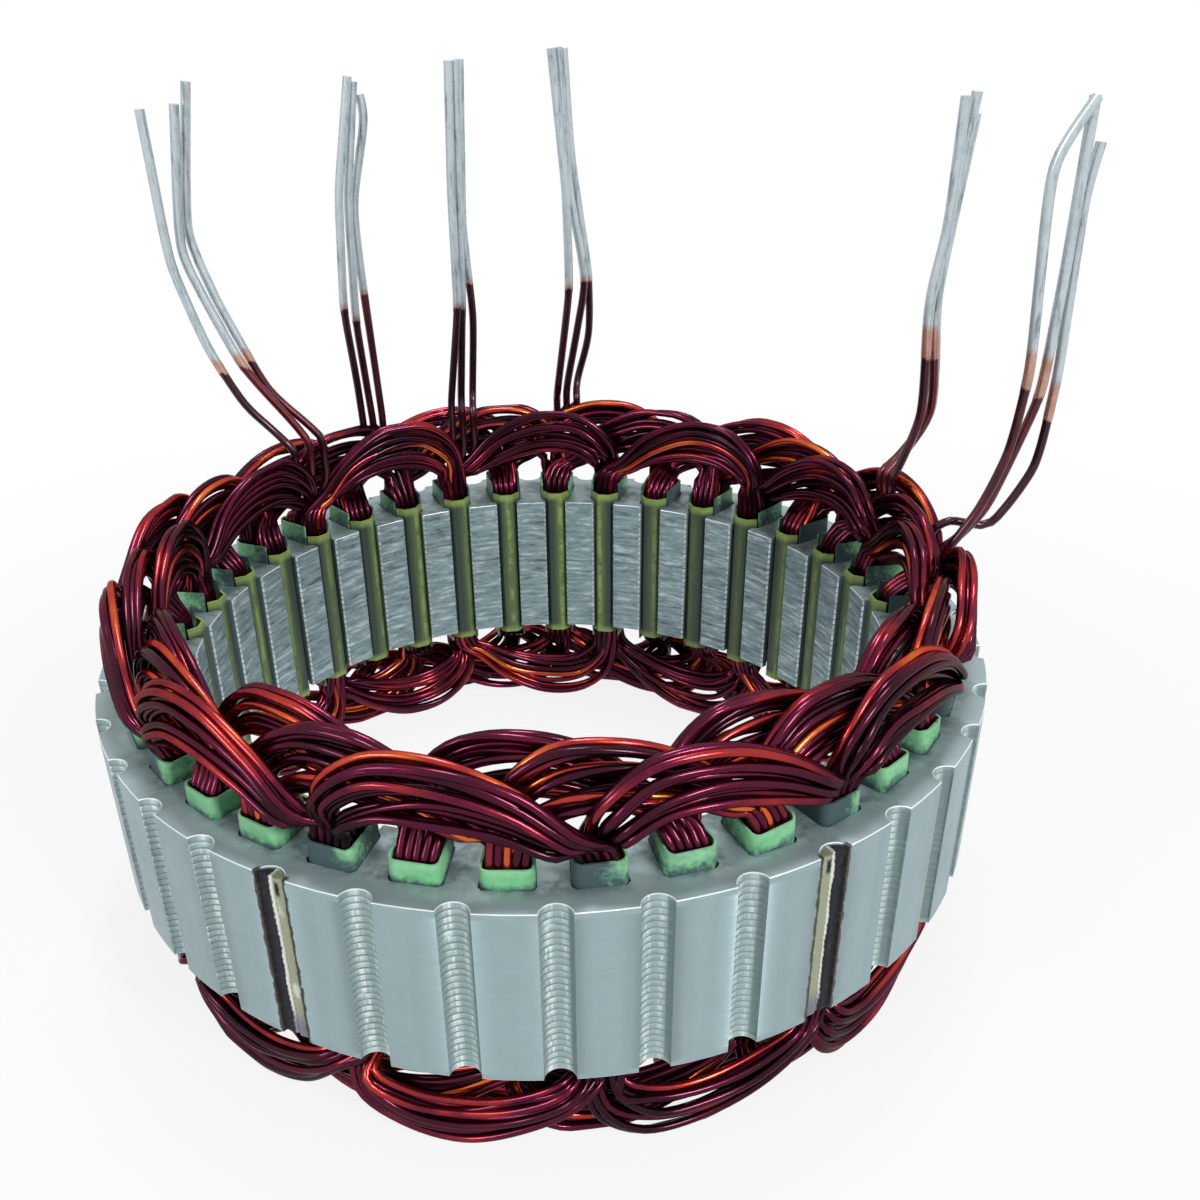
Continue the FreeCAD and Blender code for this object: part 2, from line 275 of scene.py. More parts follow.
class Tree:
    """Places and links the nodes of one shader tree."""

    def __init__(self, tree: bpy.types.NodeTree) -> None:
        """Start on an empty tree."""
        self.tree = tree
        self.nodes = tree.nodes
        self.nodes.clear()

    def add(self, kind: str, **settings) -> bpy.types.Node:
        """Add a node of a kind and set its properties."""
        node = self.nodes.new(kind)
        for key, value in settings.items():
            setattr(node, key, value)
        return node

    def put(self, target: bpy.types.NodeSocket, value) -> None:
        """Link an output to a socket, or write a plain value on it."""
        if isinstance(value, bpy.types.NodeSocket):
            self.tree.links.new(value, target)
        else:
            target.default_value = value

    def math(self, operation: str, *values, clamp: bool = False) -> bpy.types.NodeSocket:
        """One arithmetic node."""
        node = self.add("ShaderNodeMath", operation=operation, use_clamp=clamp)
        for socket, value in zip(node.inputs, values):
            self.put(socket, value)
        return node.outputs[0]

    def times(self, first, second, clamp: bool = False) -> bpy.types.NodeSocket:
        """Product of two values."""
        return self.math("MULTIPLY", first, second, clamp=clamp)

    def scaled(self, value, factor, offset, clamp: bool = False) -> bpy.types.NodeSocket:
        """A value times a factor, plus an offset."""
        return self.math("MULTIPLY_ADD", value, factor, offset, clamp=clamp)

    def span(self, value, low: float, high: float, to_low: float = 0.0, to_high: float = 1.0):
        """Map a range of a value smoothly to another range."""
        node = self.add("ShaderNodeMapRange", interpolation_type="SMOOTHSTEP")
        for socket, setting in zip(node.inputs, (value, low, high, to_low, to_high)):
            self.put(socket, setting)
        return node.outputs[0]

    def mix(self, factor, first, second, blend: str = "MIX") -> bpy.types.NodeSocket:
        """Mix two colours."""
        node = self.add("ShaderNodeMix", data_type="RGBA", blend_type=blend)
        self.put(node.inputs[0], factor)
        self.put(node.inputs[6], first)
        self.put(node.inputs[7], second)
        return node.outputs[2]

    def ramp(self, factor, stops: Sequence[tuple[float, tuple]]) -> bpy.types.NodeSocket:
        """Colour ramp with stops of place and colour."""
        node = self.add("ShaderNodeValToRGB")
        band = node.color_ramp
        while len(band.elements) < len(stops):
            band.elements.new(0.5)
        for element, (place, colour) in zip(band.elements, stops):
            element.position = place
            element.color = colour
        self.put(node.inputs[0], factor)
        return node.outputs[0]

    def place(self, scale: Point = (1.0, 1.0, 1.0)) -> bpy.types.NodeSocket:
        """Object coordinates, stretched by a scale."""
        source = self.add("ShaderNodeTexCoord").outputs["Object"]
        mapping = self.add("ShaderNodeMapping")
        self.put(mapping.inputs["Vector"], source)
        mapping.inputs["Scale"].default_value = scale
        return mapping.outputs[0]

    def noise(self, vector, scale: float, detail: float = 3.0, rough: float = 0.5):
        """Noise of one scale, from 0 to 1."""
        node = self.add("ShaderNodeTexNoise")
        self.put(node.inputs["Vector"], vector)
        node.inputs["Scale"].default_value = scale
        node.inputs["Detail"].default_value = detail
        node.inputs["Roughness"].default_value = rough
        return node.outputs[0]

    def radius(self) -> bpy.types.NodeSocket:
        """Distance from the bore axis in metres."""
        parts = self.add("ShaderNodeVectorMath", operation="LENGTH")
        self.put(parts.inputs[0], self.place((1.0, 1.0, 0.0)))
        return parts.outputs["Value"]

    def read(self, name: str) -> bpy.types.NodeSocket:
        """A stored number of the piece."""
        return self.add("ShaderNodeAttribute", attribute_name=name).outputs["Fac"]

    def bump(self, height, distance: float, strength: float = 1.0) -> bpy.types.NodeSocket:
        """Normal bent by a height."""
        node = self.add("ShaderNodeBump")
        node.inputs["Strength"].default_value = strength
        node.inputs["Distance"].default_value = distance
        self.put(node.inputs["Height"], height)
        return node.outputs[0]


class EffectGroups:
    """Node groups for the effects that several finishes share, built once."""

    made: dict[str, bpy.types.NodeTree] = {}

    @classmethod
    def start(cls, name: str, **inputs: float) -> tuple[Tree, bpy.types.Node, bpy.types.Node]:
        """Make a group with float inputs and one output, a mask.

        Args:
            name: name of the group.
            inputs: default of each input.

        Returns:
            The tree helper, the input node and the output node.
        """
        group = bpy.data.node_groups.new(name, "ShaderNodeTree")
        for label, default in inputs.items():
            socket = group.interface.new_socket(label, in_out="INPUT", socket_type="NodeSocketFloat")
            socket.default_value = default
        group.interface.new_socket("Mask", in_out="OUTPUT", socket_type="NodeSocketFloat")
        tree = Tree(group)
        cls.made[name] = group
        return tree, tree.add("NodeGroupInput"), tree.add("NodeGroupOutput")

    @classmethod
    def mottle(cls) -> bpy.types.NodeTree:
        """Soft blotches of two scales, as on handled metal and old varnish."""
        if "mottle" in cls.made:
            return cls.made["mottle"]
        tree, source, sink = cls.start("mottle", Size=200.0, Contrast=0.5)
        place = tree.place()
        wide = tree.add("ShaderNodeTexNoise")
        tree.put(wide.inputs["Vector"], place)
        tree.put(wide.inputs["Scale"], source.outputs["Size"])
        wide.inputs["Detail"].default_value = 4.0
        fine = tree.add("ShaderNodeTexNoise")
        tree.put(fine.inputs["Vector"], place)
        tree.put(fine.inputs["Scale"], tree.times(source.outputs["Size"], 5.3))
        both = tree.scaled(fine.outputs[0], 0.35, tree.times(wide.outputs[0], 0.65))
        centred = tree.math("SUBTRACT", both, 0.5)
        spread = tree.times(centred, tree.times(source.outputs["Contrast"], 4.0))
        tree.put(sink.inputs["Mask"], tree.math("ADD", spread, 0.5, clamp=True))
        return cls.made["mottle"]

    @classmethod
    def scratches(cls) -> bpy.types.NodeTree:
        """Fine streaks that run round the axis, as left by grinding and turning."""
        if "scratches" in cls.made:
            return cls.made["scratches"]
        tree, source, sink = cls.start("scratches", Fineness=1.0, Level=0.5)
        place = tree.place((60.0, 60.0, 1500.0))
        spot = tree.add("ShaderNodeVectorMath", operation="SCALE")
        tree.put(spot.inputs[0], place)
        tree.put(spot.inputs[3], source.outputs["Fineness"])
        grain = tree.noise(spot.outputs[0], 1.0, 4.0, 0.65)
        lines = tree.noise(spot.outputs[0], 3.1, 2.0, 0.5)
        both = tree.scaled(lines, 0.5, tree.times(grain, 0.5))
        sharp = tree.times(tree.math("SUBTRACT", both, source.outputs["Level"]), 4.0)
        tree.put(sink.inputs["Mask"], tree.math("ADD", sharp, 0.5, clamp=True))
        return cls.made["scratches"]

    @classmethod
    def place(cls, tree: Tree, group: bpy.types.NodeTree, *values: float) -> bpy.types.NodeSocket:
        """Put a group into a material with its own values and return its output."""
        node = tree.add("ShaderNodeGroup", node_tree=group)
        for socket, value in zip(node.inputs, values):
            socket.default_value = value
        return node.outputs[0]


def principled(name: str) -> tuple[bpy.types.Material, Tree, bpy.types.Node]:
    """New material with a Principled shader on its output.

    Args:
        name: name of the material.

    Returns:
        The material, its tree helper and the shader node.
    """
    material = bpy.data.materials.new(name)
    material.use_nodes = True
    tree = Tree(material.node_tree)
    shader = tree.add("ShaderNodeBsdfPrincipled")
    output = tree.add("ShaderNodeOutputMaterial")
    tree.put(output.inputs["Surface"], shader.outputs[0])
    return material, tree, shader


def fibre_surface(
    tree: Tree, shader: bpy.types.Node, mottle: bpy.types.NodeSocket, fibre: bpy.types.NodeSocket
) -> None:
    """Give a shader the dull, slightly waxy surface of pressed fibre."""
    tree.put(shader.inputs["Roughness"], tree.scaled(mottle, 0.2, 0.40))
    height = tree.scaled(fibre, 0.7, tree.times(mottle, 0.3))
    tree.put(shader.inputs["Normal"], tree.bump(height, 0.00006, 0.7))


@dataclass(frozen=True)
class SheetSteelFinish:
    """Bare electrical sheet: pale ground edges, greyer punched faces, bright burred rims with painted
    highlights, and painted shade at the joints and under the winding.
    """

    edge_colour: Colour = (0.311, 0.416, 0.437, 1.0)
    face_colour: Colour = (0.306, 0.390, 0.404, 1.0)
    groove_colour: Colour = (0.353, 0.465, 0.465, 1.0)
    tooth_colour: Colour = (0.300, 0.425, 0.452, 1.0)
    torn_colour: Colour = (0.527, 0.640, 0.665, 1.0)
    smudge_and_shade_colour: Colour = (0.085, 0.110, 0.115, 1.0)
    smear_colour: Colour = (0.22, 0.29, 0.29, 1.0)
    grain_colour: Colour = (0.24, 0.33, 0.34, 1.0)
    streak_colour: Colour = (0.13, 0.18, 0.21, 1.0)
    dull_colour: Colour = (0.10, 0.14, 0.16, 1.0)
    gouge_colour: Colour = (0.05, 0.07, 0.085, 1.0)
    joint_and_shade_colour: Colour = (0.07, 0.09, 0.10, 1.0)
    burr_colour: Colour = (0.80, 0.88, 0.88, 1.0)
    burnt_colour: Colour = (0.030, 0.024, 0.020, 1.0)
    tint_colour: Colour = (0.120, 0.080, 0.050, 1.0)

    def soot(self, tree: Tree) -> bpy.types.NodeSocket:
        """Ragged soot on the outside wall beside the welds, which stand every 60 degrees."""
        spot = tree.add("ShaderNodeSeparateXYZ")
        tree.put(spot.inputs[0], tree.place())
        turn = tree.math("ARCTAN2", spot.outputs[1], spot.outputs[0])
        away = tree.math("ABSOLUTE", tree.math("WRAP", turn, math.pi / 6, -math.pi / 6))
        ragged = tree.noise(tree.place((1.0, 1.0, 0.7)), 900.0, 3.0, 0.6)
        edge = tree.scaled(tree.math("SUBTRACT", ragged, 0.5), 0.016, away)
        outside = tree.span(tree.radius(), 0.0658, 0.0664)
        return tree.times(tree.span(edge, 0.0375, 0.0345), outside)

    def make(self) -> bpy.types.Material:
        """Build the material; it reads the piece's zone, burr, ridge, glint and heat."""
        material, tree, shader = principled("sheet_steel")
        mottle = EffectGroups.place(tree, EffectGroups.mottle(), 150.0, 0.7)
        fine = EffectGroups.place(tree, EffectGroups.mottle(), 700.0, 0.6)
        streak = EffectGroups.place(tree, EffectGroups.scratches(), 1.0, 0.5)
        gouge = EffectGroups.place(tree, EffectGroups.scratches(), 0.45, 0.56)
        zone = tree.read("zone")
        burr = tree.read("burr")
        joint_line_and_shade = tree.read("joint_line_and_shade")
        glint = tree.read("glint")
        heat = tree.read("heat")
        face = tree.math("COMPARE", zone, SteelZone.END_FACE.value, 0.1)
        groove = tree.math("COMPARE", zone, SteelZone.GROOVE.value, 0.1)
        tooth = tree.math("COMPARE", zone, SteelZone.TOOTH.value, 0.1)
        base = tree.mix(face, self.edge_colour, self.face_colour)
        base = tree.mix(groove, base, self.groove_colour)
        base = tree.mix(tooth, base, self.tooth_colour)
        base = tree.mix(tree.times(mottle, 0.20), base, self.smear_colour)
        plumb = tree.noise(tree.place((1.0, 1.0, 0.04)), 420.0, 3.0, 0.6)
        wall = tree.math("COMPARE", zone, SteelZone.WALL.value, 0.1)
        grain = tree.times(tree.span(plumb, 0.42, 0.72), tree.times(wall, 0.30))
        base = tree.mix(grain, base, self.grain_colour)
        lined = tree.times(streak, tree.scaled(tooth, 0.45, 0.09))
        base = tree.mix(lined, base, self.streak_colour)
        torn = tree.noise(tree.place((210.0, 210.0, 1050.0)), 1.0, 5.0, 0.72)
        bright = tree.times(tree.span(torn, 0.50, 0.66), tooth)
        base = tree.mix(bright, base, self.torn_colour)
        dim = tree.times(tree.span(torn, 0.47, 0.32), tooth)
        base = tree.mix(dim, base, self.dull_colour)
        cut = tree.times(tree.math("SUBTRACT", gouge, 0.55, clamp=True), tooth)
        base = tree.mix(tree.times(cut, 1.6, clamp=True), base, self.gouge_colour)
        # Dark sheet joints, with painted shade on the grooves' far wall.
        base = tree.mix(tree.times(joint_line_and_shade, 0.66), base, self.joint_and_shade_colour)
        # Painted highlights on the grooves' lit wall and on the tooth chamfers.
        base = tree.mix(glint, base, self.burr_colour)
        # Bevelled rims of the end sheets: bright burred metal with a painted highlight.
        base = tree.mix(tree.times(burr, 0.9), base, self.burr_colour)
        # Darker ring on the end faces beside the slots: partly soiling, partly painted shade under the
        # winding's crown.
        dirt_and_shade = tree.times(tree.span(tree.radius(), 0.0652, 0.0622), face)
        dirt_and_shade = tree.times(dirt_and_shade, tree.span(mottle, 0.35, 0.85))
        base = tree.mix(tree.times(dirt_and_shade, 0.75), base, self.smudge_and_shade_colour)
        rough_heat = tree.times(heat, tree.math("ADD", mottle, 0.6), clamp=True)
        base = tree.mix(tree.span(rough_heat, 0.05, 0.55), base, self.tint_colour)
        base = tree.mix(tree.span(rough_heat, 0.55, 0.95), base, self.burnt_colour)
        soot = self.soot(tree)
        base = tree.mix(soot, base, self.burnt_colour)
        tree.put(shader.inputs["Base Color"], base)
        shine = tree.scaled(mottle, 0.16, 0.38)
        shine = tree.math("ADD", shine, tree.times(heat, 0.25))
        tree.put(shader.inputs["Roughness"], shine)
        covered = tree.math("MAXIMUM", heat, soot)
        metal = tree.math("SUBTRACT", 0.50, tree.times(covered, 0.45))
        tree.put(shader.inputs["Metallic"], metal)
        height = tree.scaled(streak, 0.6, tree.times(fine, 0.5))
        height = tree.math("SUBTRACT", height, tree.times(cut, 2.0))
        height = tree.scaled(tree.times(torn, tooth), 3.0, height)
        tree.put(shader.inputs["Normal"], tree.bump(height, 0.00004, 0.6))
        return material


@dataclass(frozen=True)
class WeldFinish:
    """Weld bead: one side burnt black and crusted, the other side straw and silver, with painted shade in
    the crease at its far edge and in a small crater near its top end.
    """

    silver: Colour = (0.74, 0.76, 0.70, 1.0)
    straw: Colour = (0.33, 0.36, 0.24, 1.0)
    violet: Colour = (0.16, 0.14, 0.22, 1.0)
    black: Colour = (0.008, 0.009, 0.013, 1.0)
    ash: Colour = (0.060, 0.064, 0.080, 1.0)

    def make(self) -> bpy.types.Material:
        """Build the material; it reads how far across and along the bead a point is."""
        material, tree, shader = principled("weld_bead")
        across = tree.read("across")
        along = tree.read("along")
        crust = tree.noise(tree.place((1.0, 1.0, 0.6)), 1400.0, 4.0, 0.7)
        broad = tree.noise(tree.place((1.0, 1.0, 0.35)), 420.0, 3.0, 0.6)
        wobble = tree.scaled(broad, 0.5, tree.math("SUBTRACT", across, 0.25))
        burnt = tree.span(wobble, -0.10, -0.20)
        # Painted shade in the crease where the bead meets the groove's far wall.
        edge_crease_shade = tree.span(tree.scaled(crust, 0.24, across), 0.93, 1.02)
        # Painted shade of a small crater near the top end, which the bead's shape lacks.
        crater_shade = tree.times(tree.span(along, 0.88, 0.91), tree.span(along, 0.985, 0.96))
        beside = tree.math("ABSOLUTE", tree.math("SUBTRACT", across, 0.36))
        crater_shade = tree.times(crater_shade, tree.span(beside, 0.26, 0.12))
        foot = tree.span(along, 0.20, 0.05)
        warm = tree.mix(tree.span(wobble, -0.06, 0.10), self.silver, self.straw)
        warm = tree.mix(tree.times(tree.span(broad, 0.56, 0.72), 0.7), warm, self.silver)
        warm = tree.mix(tree.times(foot, 0.8), warm, self.violet)
        dark = tree.mix(tree.span(crust, 0.55, 0.78), self.black, self.ash)
        # Dark mask: the burnt crust together with the painted shade of the crease and the crater.
        shade = tree.math("MAXIMUM", burnt, tree.math("MAXIMUM", edge_crease_shade, crater_shade))
        tree.put(shader.inputs["Base Color"], tree.mix(shade, warm, dark))
        tree.put(shader.inputs["Metallic"], tree.scaled(shade, -0.6, 0.6))
        tree.put(shader.inputs["Roughness"], tree.scaled(shade, 0.30, 0.30))
        shader.inputs["Specular IOR Level"].default_value = 0.25
        height = tree.times(crust, tree.scaled(shade, 0.9, 0.1))
        tree.put(shader.inputs["Normal"], tree.bump(height, 0.00022, 0.9))
        return material


@dataclass(frozen=True)
class LinerFinish:
    """Mint insulation paper with a fibrous, slightly waxy surface, stained where varnish ran, with painted
    shade under the arches' lowest wires and where the cuffs meet the core.
    """

    colour: Colour = (0.225, 0.640, 0.290, 1.0)
    shade_colour: Colour = (0.085, 0.275, 0.140, 1.0)
    edge_colour: Colour = (0.400, 0.720, 0.460, 1.0)
    stain_colour: Colour = (0.050, 0.085, 0.095, 1.0)

    def make(self) -> bpy.types.Material:
        """Build the material; it reads the stored staining with its painted shade, and the cut edge of the
        sheet.
        """
        material, tree, shader = principled("liner_sheet")
        mottle = EffectGroups.place(tree, EffectGroups.mottle(), 260.0, 0.8)
        fibre = tree.noise(tree.place((1.0, 1.0, 0.12)), 900.0, 4.0, 0.7)
        stain = tree.read("stain")
        edge = tree.read("cut_edge")
        base = tree.mix(tree.times(mottle, 0.60), self.colour, self.shade_colour)
        base = tree.mix(tree.times(fibre, 0.30), base, self.shade_colour)
        base = tree.mix(tree.times(edge, 0.35), base, self.edge_colour)
        # Random grime and varnish staining, together with the painted shade stored with them.
        stain_and_shade_mask = tree.times(stain, tree.math("ADD", mottle, 0.55), clamp=True)
        base = tree.mix(tree.span(stain_and_shade_mask, 0.25, 0.75), base, self.stain_colour)
        tree.put(shader.inputs["Base Color"], base)
        shader.inputs["Specular IOR Level"].default_value = 0.35
        fibre_surface(tree, shader, mottle, fibre)
        return material


@dataclass(frozen=True)
class WedgeFinish:
    """Olive fibre strip with a painted highlight along a band and painted shade away from it, pale at its
    ends, dark where varnish soaked in.
    """

    dark: Colour = (0.026, 0.046, 0.034, 1.0)
    olive: Colour = (0.086, 0.132, 0.048, 1.0)
    pale: Colour = (0.250, 0.360, 0.095, 1.0)

    def make(self) -> bpy.types.Material:
        """Build the material; it reads the place across the strip, the band, the soak and the ends."""
        material, tree, shader = principled("wedge_strip")
        mottle = EffectGroups.place(tree, EffectGroups.mottle(), 330.0, 0.7)
        fibre = tree.noise(tree.place((1.0, 1.0, 0.05)), 1300.0, 4.0, 0.7)
        across = tree.read("across")
        band = tree.read("band")
        edge = tree.read("cut_edge")
        drift = tree.times(tree.math("SUBTRACT", fibre, 0.5), 0.7)
        away = tree.math("ABSOLUTE", tree.math("SUBTRACT", tree.math("ADD", across, drift), band))
        # Painted shade: darker the further across the strip from its band.
        base = tree.mix(tree.span(away, 0.85, 0.25), self.dark, self.olive)
        # Painted highlight: pale along the band.
        highlight_band = tree.times(tree.span(away, 0.38, 0.05), tree.span(mottle, 0.15, 0.75))
        base = tree.mix(tree.times(highlight_band, 0.85), base, self.pale)
        soaked = tree.times(tree.read("soak"), tree.scaled(mottle, 0.4, 0.6))
        base = tree.mix(soaked, base, self.dark)
        tip = tree.times(edge, tree.scaled(mottle, 0.4, 0.65))
        base = tree.mix(tip, base, self.pale)
        tree.put(shader.inputs["Base Color"], base)
        fibre_surface(tree, shader, mottle, fibre)
        return material


@dataclass(frozen=True)
class EnamelledWireFinish:
    """Copper wire under glossy wine-red enamel, with some strands orange, picked at random."""

    dark: Colour = (0.022, 0.004, 0.010, 1.0)
    wine: Colour = (0.092, 0.007, 0.028, 1.0)
    red: Colour = (0.380, 0.034, 0.028, 1.0)
    orange: Colour = (0.640, 0.135, 0.028, 1.0)

    def make(self) -> bpy.types.Material:
        """Build the material; it reads the tone stored for each wire."""
        material, tree, shader = principled("enamelled_wire")
        tone = tree.read("tone")
        drift = tree.noise(tree.place(), 70.0, 2.0, 0.5)
        mottle = EffectGroups.place(tree, EffectGroups.mottle(), 420.0, 0.6)
        level = tree.scaled(tree.math("SUBTRACT", drift, 0.5), 1.3, tone)
        level = tree.scaled(tree.math("SUBTRACT", mottle, 0.5), 0.12, level, clamp=True)
        colour = tree.ramp(
            level,
            ((0.0, self.dark), (0.45, self.wine), (0.74, self.red), (0.98, self.orange)),
        )
        tree.put(shader.inputs["Base Color"], colour)
        tree.put(shader.inputs["Metallic"], tree.scaled(level, 0.15, 0.80))
        tree.put(shader.inputs["Roughness"], tree.scaled(mottle, 0.10, 0.17))
        shader.inputs["Specular Tint"].default_value = (0.40, 0.16, 0.24, 1.0)
        shader.inputs["Coat Weight"].default_value = 0.15
        shader.inputs["Coat Roughness"].default_value = 0.07
        fine = tree.noise(tree.place(), 700.0, 3.0, 0.6)
        tree.put(shader.inputs["Normal"], tree.bump(fine, 0.00004, 0.5))
        return material


@dataclass(frozen=True)
class LeadWireFinish:
    """Lead wire: enamelled below, a short bare copper band, tinned above."""

    tin: Colour = (0.498, 0.573, 0.602, 1.0)
    tin_shade: Colour = (0.095, 0.130, 0.152, 1.0)
    copper: Colour = (0.560, 0.330, 0.260, 1.0)
    copper_shade: Colour = (0.300, 0.130, 0.100, 1.0)
    enamel: Colour = (0.034, 0.005, 0.014, 1.0)
    enamel_red: Colour = (0.130, 0.014, 0.022, 1.0)

    def make(self) -> bpy.types.Material:
        """Build the material; it reads the height over the enamel's end and the bare length."""
        material, tree, shader = principled("lead_wire")
        above = tree.read("above_enamel")
        band = tree.read("bare_length")
        tone = tree.read("tone")
        mottle = EffectGroups.place(tree, EffectGroups.mottle(), 330.0, 0.9)
        streaks = tree.noise(tree.place((1.0, 1.0, 0.16)), 900.0, 4.0, 0.65)
        lumps = tree.noise(tree.place((1.0, 1.0, 0.35)), 520.0, 3.0, 0.6)
        ragged = tree.scaled(tree.math("SUBTRACT", lumps, 0.5), 2.4, above)
        bare = tree.span(ragged, -0.2, 0.3)
        over = tree.math("SUBTRACT", ragged, band)
        tinned = tree.span(over, -0.8, 0.8)
        redness = tree.math("ADD", tone, tree.math("SUBTRACT", lumps, 0.5))
        enamel = tree.mix(tree.span(redness, 0.3, 0.9), self.enamel, self.enamel_red)
        copper = tree.mix(tree.times(mottle, 0.6), self.copper, self.copper_shade)
        dull = tree.scaled(tree.span(mottle, 0.45, 0.95), 0.25, tree.span(streaks, 0.50, 0.74))
        tin = tree.mix(tree.times(dull, 0.75), self.tin, self.tin_shade)
        colour = tree.mix(bare, enamel, copper)
        colour = tree.mix(tinned, colour, tin)
        tree.put(shader.inputs["Base Color"], colour)
        metal = tree.scaled(tinned, -0.05, 0.75)
        tree.put(shader.inputs["Metallic"], metal)
        rough = tree.scaled(mottle, 0.12, 0.22)
        tree.put(shader.inputs["Roughness"], tree.scaled(tinned, 0.04, rough))
        tree.put(shader.inputs["Coat Weight"], tree.scaled(bare, -0.35, 0.35))
        shader.inputs["Coat Roughness"].default_value = 0.10
        height = tree.times(lumps, tree.scaled(tinned, 0.6, 0.2))
        tree.put(shader.inputs["Normal"], tree.bump(height, 0.00014, 0.6))
        return material


@dataclass
class LaminatedCore:
    """The stack of punched sheets, ridged where the sheets' edges were never ground."""

    finish: SheetSteelFinish
    layout: SlotLayout = LAYOUT
    sheets: int = 26
    notch_half: float = 0.13
    notch_depth: float = 0.11
    tooth_notch: float = 0.05
    unevenness: float = 0.05
    burr_width: float = 0.11
    tooth_chamfer: float = 0.26

    @property
    def pitch(self) -> float:
        """Thickness of one sheet."""
        return 2 * self.layout.half_stack / self.sheets

    def on_outside(self, face: bmesh.types.BMFace) -> bool:
        """True for an outer wall face, grooves included."""
        centre = face.calc_center_median() / MM
        radius = math.hypot(centre.x, centre.y)
        return abs(face.normal.z) < 0.5 and radius > self.layout.slot_bottom + 1.5

    def on_tooth(self, face: bmesh.types.BMFace) -> bool:
        """True for a tooth face towards the bore, or the lip beside it."""
        centre = face.calc_center_median() / MM
        radius = math.hypot(centre.x, centre.y)
        return abs(face.normal.z) < 0.5 and radius < self.layout.bore_radius + 0.8

    def off_groove(self, place: Vector) -> float:
        """Angle in degrees from the middle line of the nearest outer groove."""
        layout = self.layout
        turn = math.degrees(math.atan2(place.y, place.x)) - layout.first_angle
        return turn % layout.pitch - layout.pitch / 2

    def slice_sheets(self, obj: bpy.types.Object) -> None:
        """Cut the outer wall and the tooth faces at every joint between two sheets."""
        with Mesher.editing(obj):
            bpy.ops.mesh.select_mode(type="FACE")
            Mesher.pick_faces(obj, lambda face: abs(face.normal.z) < 0.5)
            bpy.ops.mesh.tris_convert_to_quads(face_threshold=0.02, shape_threshold=3.14)
            for joint in range(1, self.sheets):
                middle = -self.layout.half_stack + self.pitch * joint
                for level in (middle - self.notch_half, middle, middle + self.notch_half):
                    Mesher.pick_faces(obj, lambda face: self.on_tooth(face) or self.on_outside(face))
                    Mesher.cut(level)

    def chamfer_teeth(self, obj: bpy.types.Object) -> None:
        """Break the upright edges of the tooth faces, where the punched sheets show as dots."""

        def at_corner(edge: bmesh.types.BMEdge) -> bool:
            """True for an upright edge between a tooth's face and its side."""
            ends = [vert.co / MM for vert in edge.verts]
            upright = math.hypot(ends[0].x - ends[1].x, ends[0].y - ends[1].y) < 0.001
            at_bore = math.hypot(ends[0].x, ends[0].y) < self.layout.bore_radius + 0.03
            if not (upright and at_bore and len(edge.link_faces) == 2):
                return False
            first, second = edge.link_faces
            return first.normal.angle(second.normal) > math.radians(40.0)

        with Mesher.editing(obj):
            Mesher.pick_edges(obj, at_corner)
            bpy.ops.mesh.bevel(offset=self.tooth_chamfer * MM, segments=1, affect="EDGES")

    def notch_sheets(self, obj: bpy.types.Object) -> None:
        """Sink the joints and set every sheet a little in or out, and store the dark joint lines, which
        carry painted shade towards the groove's far wall.
        """
        layout = self.layout
        dice = random.Random(7)
        offsets = [[dice.uniform(-1.0, 1.0) for _ in range(self.sheets)] for _ in range(layout.count)]
        mesh = bmesh.new()
        mesh.from_mesh(obj.data)
        mesh.normal_update()
        joint_line_and_shade = mesh.verts.layers.float.new("joint_line_and_shade")
        for vert in mesh.verts:
            place = vert.co / MM
            radius = math.hypot(place.x, place.y)
            if abs(place.z) > layout.half_stack - 0.02:
                continue
            groove = layout.outer_radius - layout.groove_depth - 0.1 < radius < layout.outer_radius - 0.05
            tooth = radius < layout.bore_radius + self.tooth_chamfer + 0.05
            if not (groove or tooth):
                continue
            share = (place.z + layout.half_stack) / self.pitch
            joint = abs(share - round(share)) * self.pitch < self.notch_half * 0.5
            sheet = min(int(share), self.sheets - 1)
            turn = math.degrees(math.atan2(place.y, place.x)) - layout.first_angle
            sector = int(round((turn - 5.0) / 10.0)) % layout.count
            out = vert.normal.copy()
            out.z = 0.0
            out.normalize()
            near = 1.0 - min(max((self.off_groove(place) + 0.3) / 1.5, 0.0), 1.0)
            if joint:
                step = -(self.notch_depth * (0.55 + 0.45 * near) if groove else self.tooth_notch)
                # Dark joint lines; on the grooves they grow stronger towards the wall lit by the key lamp,
                # a painted contrast of light and shade.
                vert[joint_line_and_shade] = dice.uniform(0.7, 1.0) * (0.5 + 0.5 * near) if groove else 0.35
            else:
                step = self.unevenness * offsets[sector][sheet] if groove else 0.0
                vert[joint_line_and_shade] = 0.0
            # Painted shade: a dark line on the groove wall turned away from the key lamp.
            if groove and self.off_groove(place) > 1.25:
                vert[joint_line_and_shade] = 0.7
            vert.co += out * step * MM
        mesh.to_mesh(obj.data)
        mesh.free()

    def roll_edges(self, obj: bpy.types.Object) -> None:
        """Round the burred rims of the end sheets at the outside and at the teeth."""
        layout = self.layout

        def at_rim(edge: bmesh.types.BMEdge) -> bool:
            """True for an outer edge of an end sheet, at the outside or at a tooth."""
            ends = [vert.co / MM for vert in edge.verts]
            if not all(abs(abs(end.z) - layout.half_stack) < TOUCH for end in ends):
                return False
            radii = [math.hypot(end.x, end.y) for end in ends]
            outside = min(radii) > layout.outer_radius - layout.groove_depth - 0.2
            inside = max(radii) < layout.bore_radius + 0.02
            levels = sorted(abs(face.normal.z) for face in edge.link_faces)
            return (outside or inside) and len(levels) == 2 and levels[0] < 0.1 < 0.9 < levels[1]

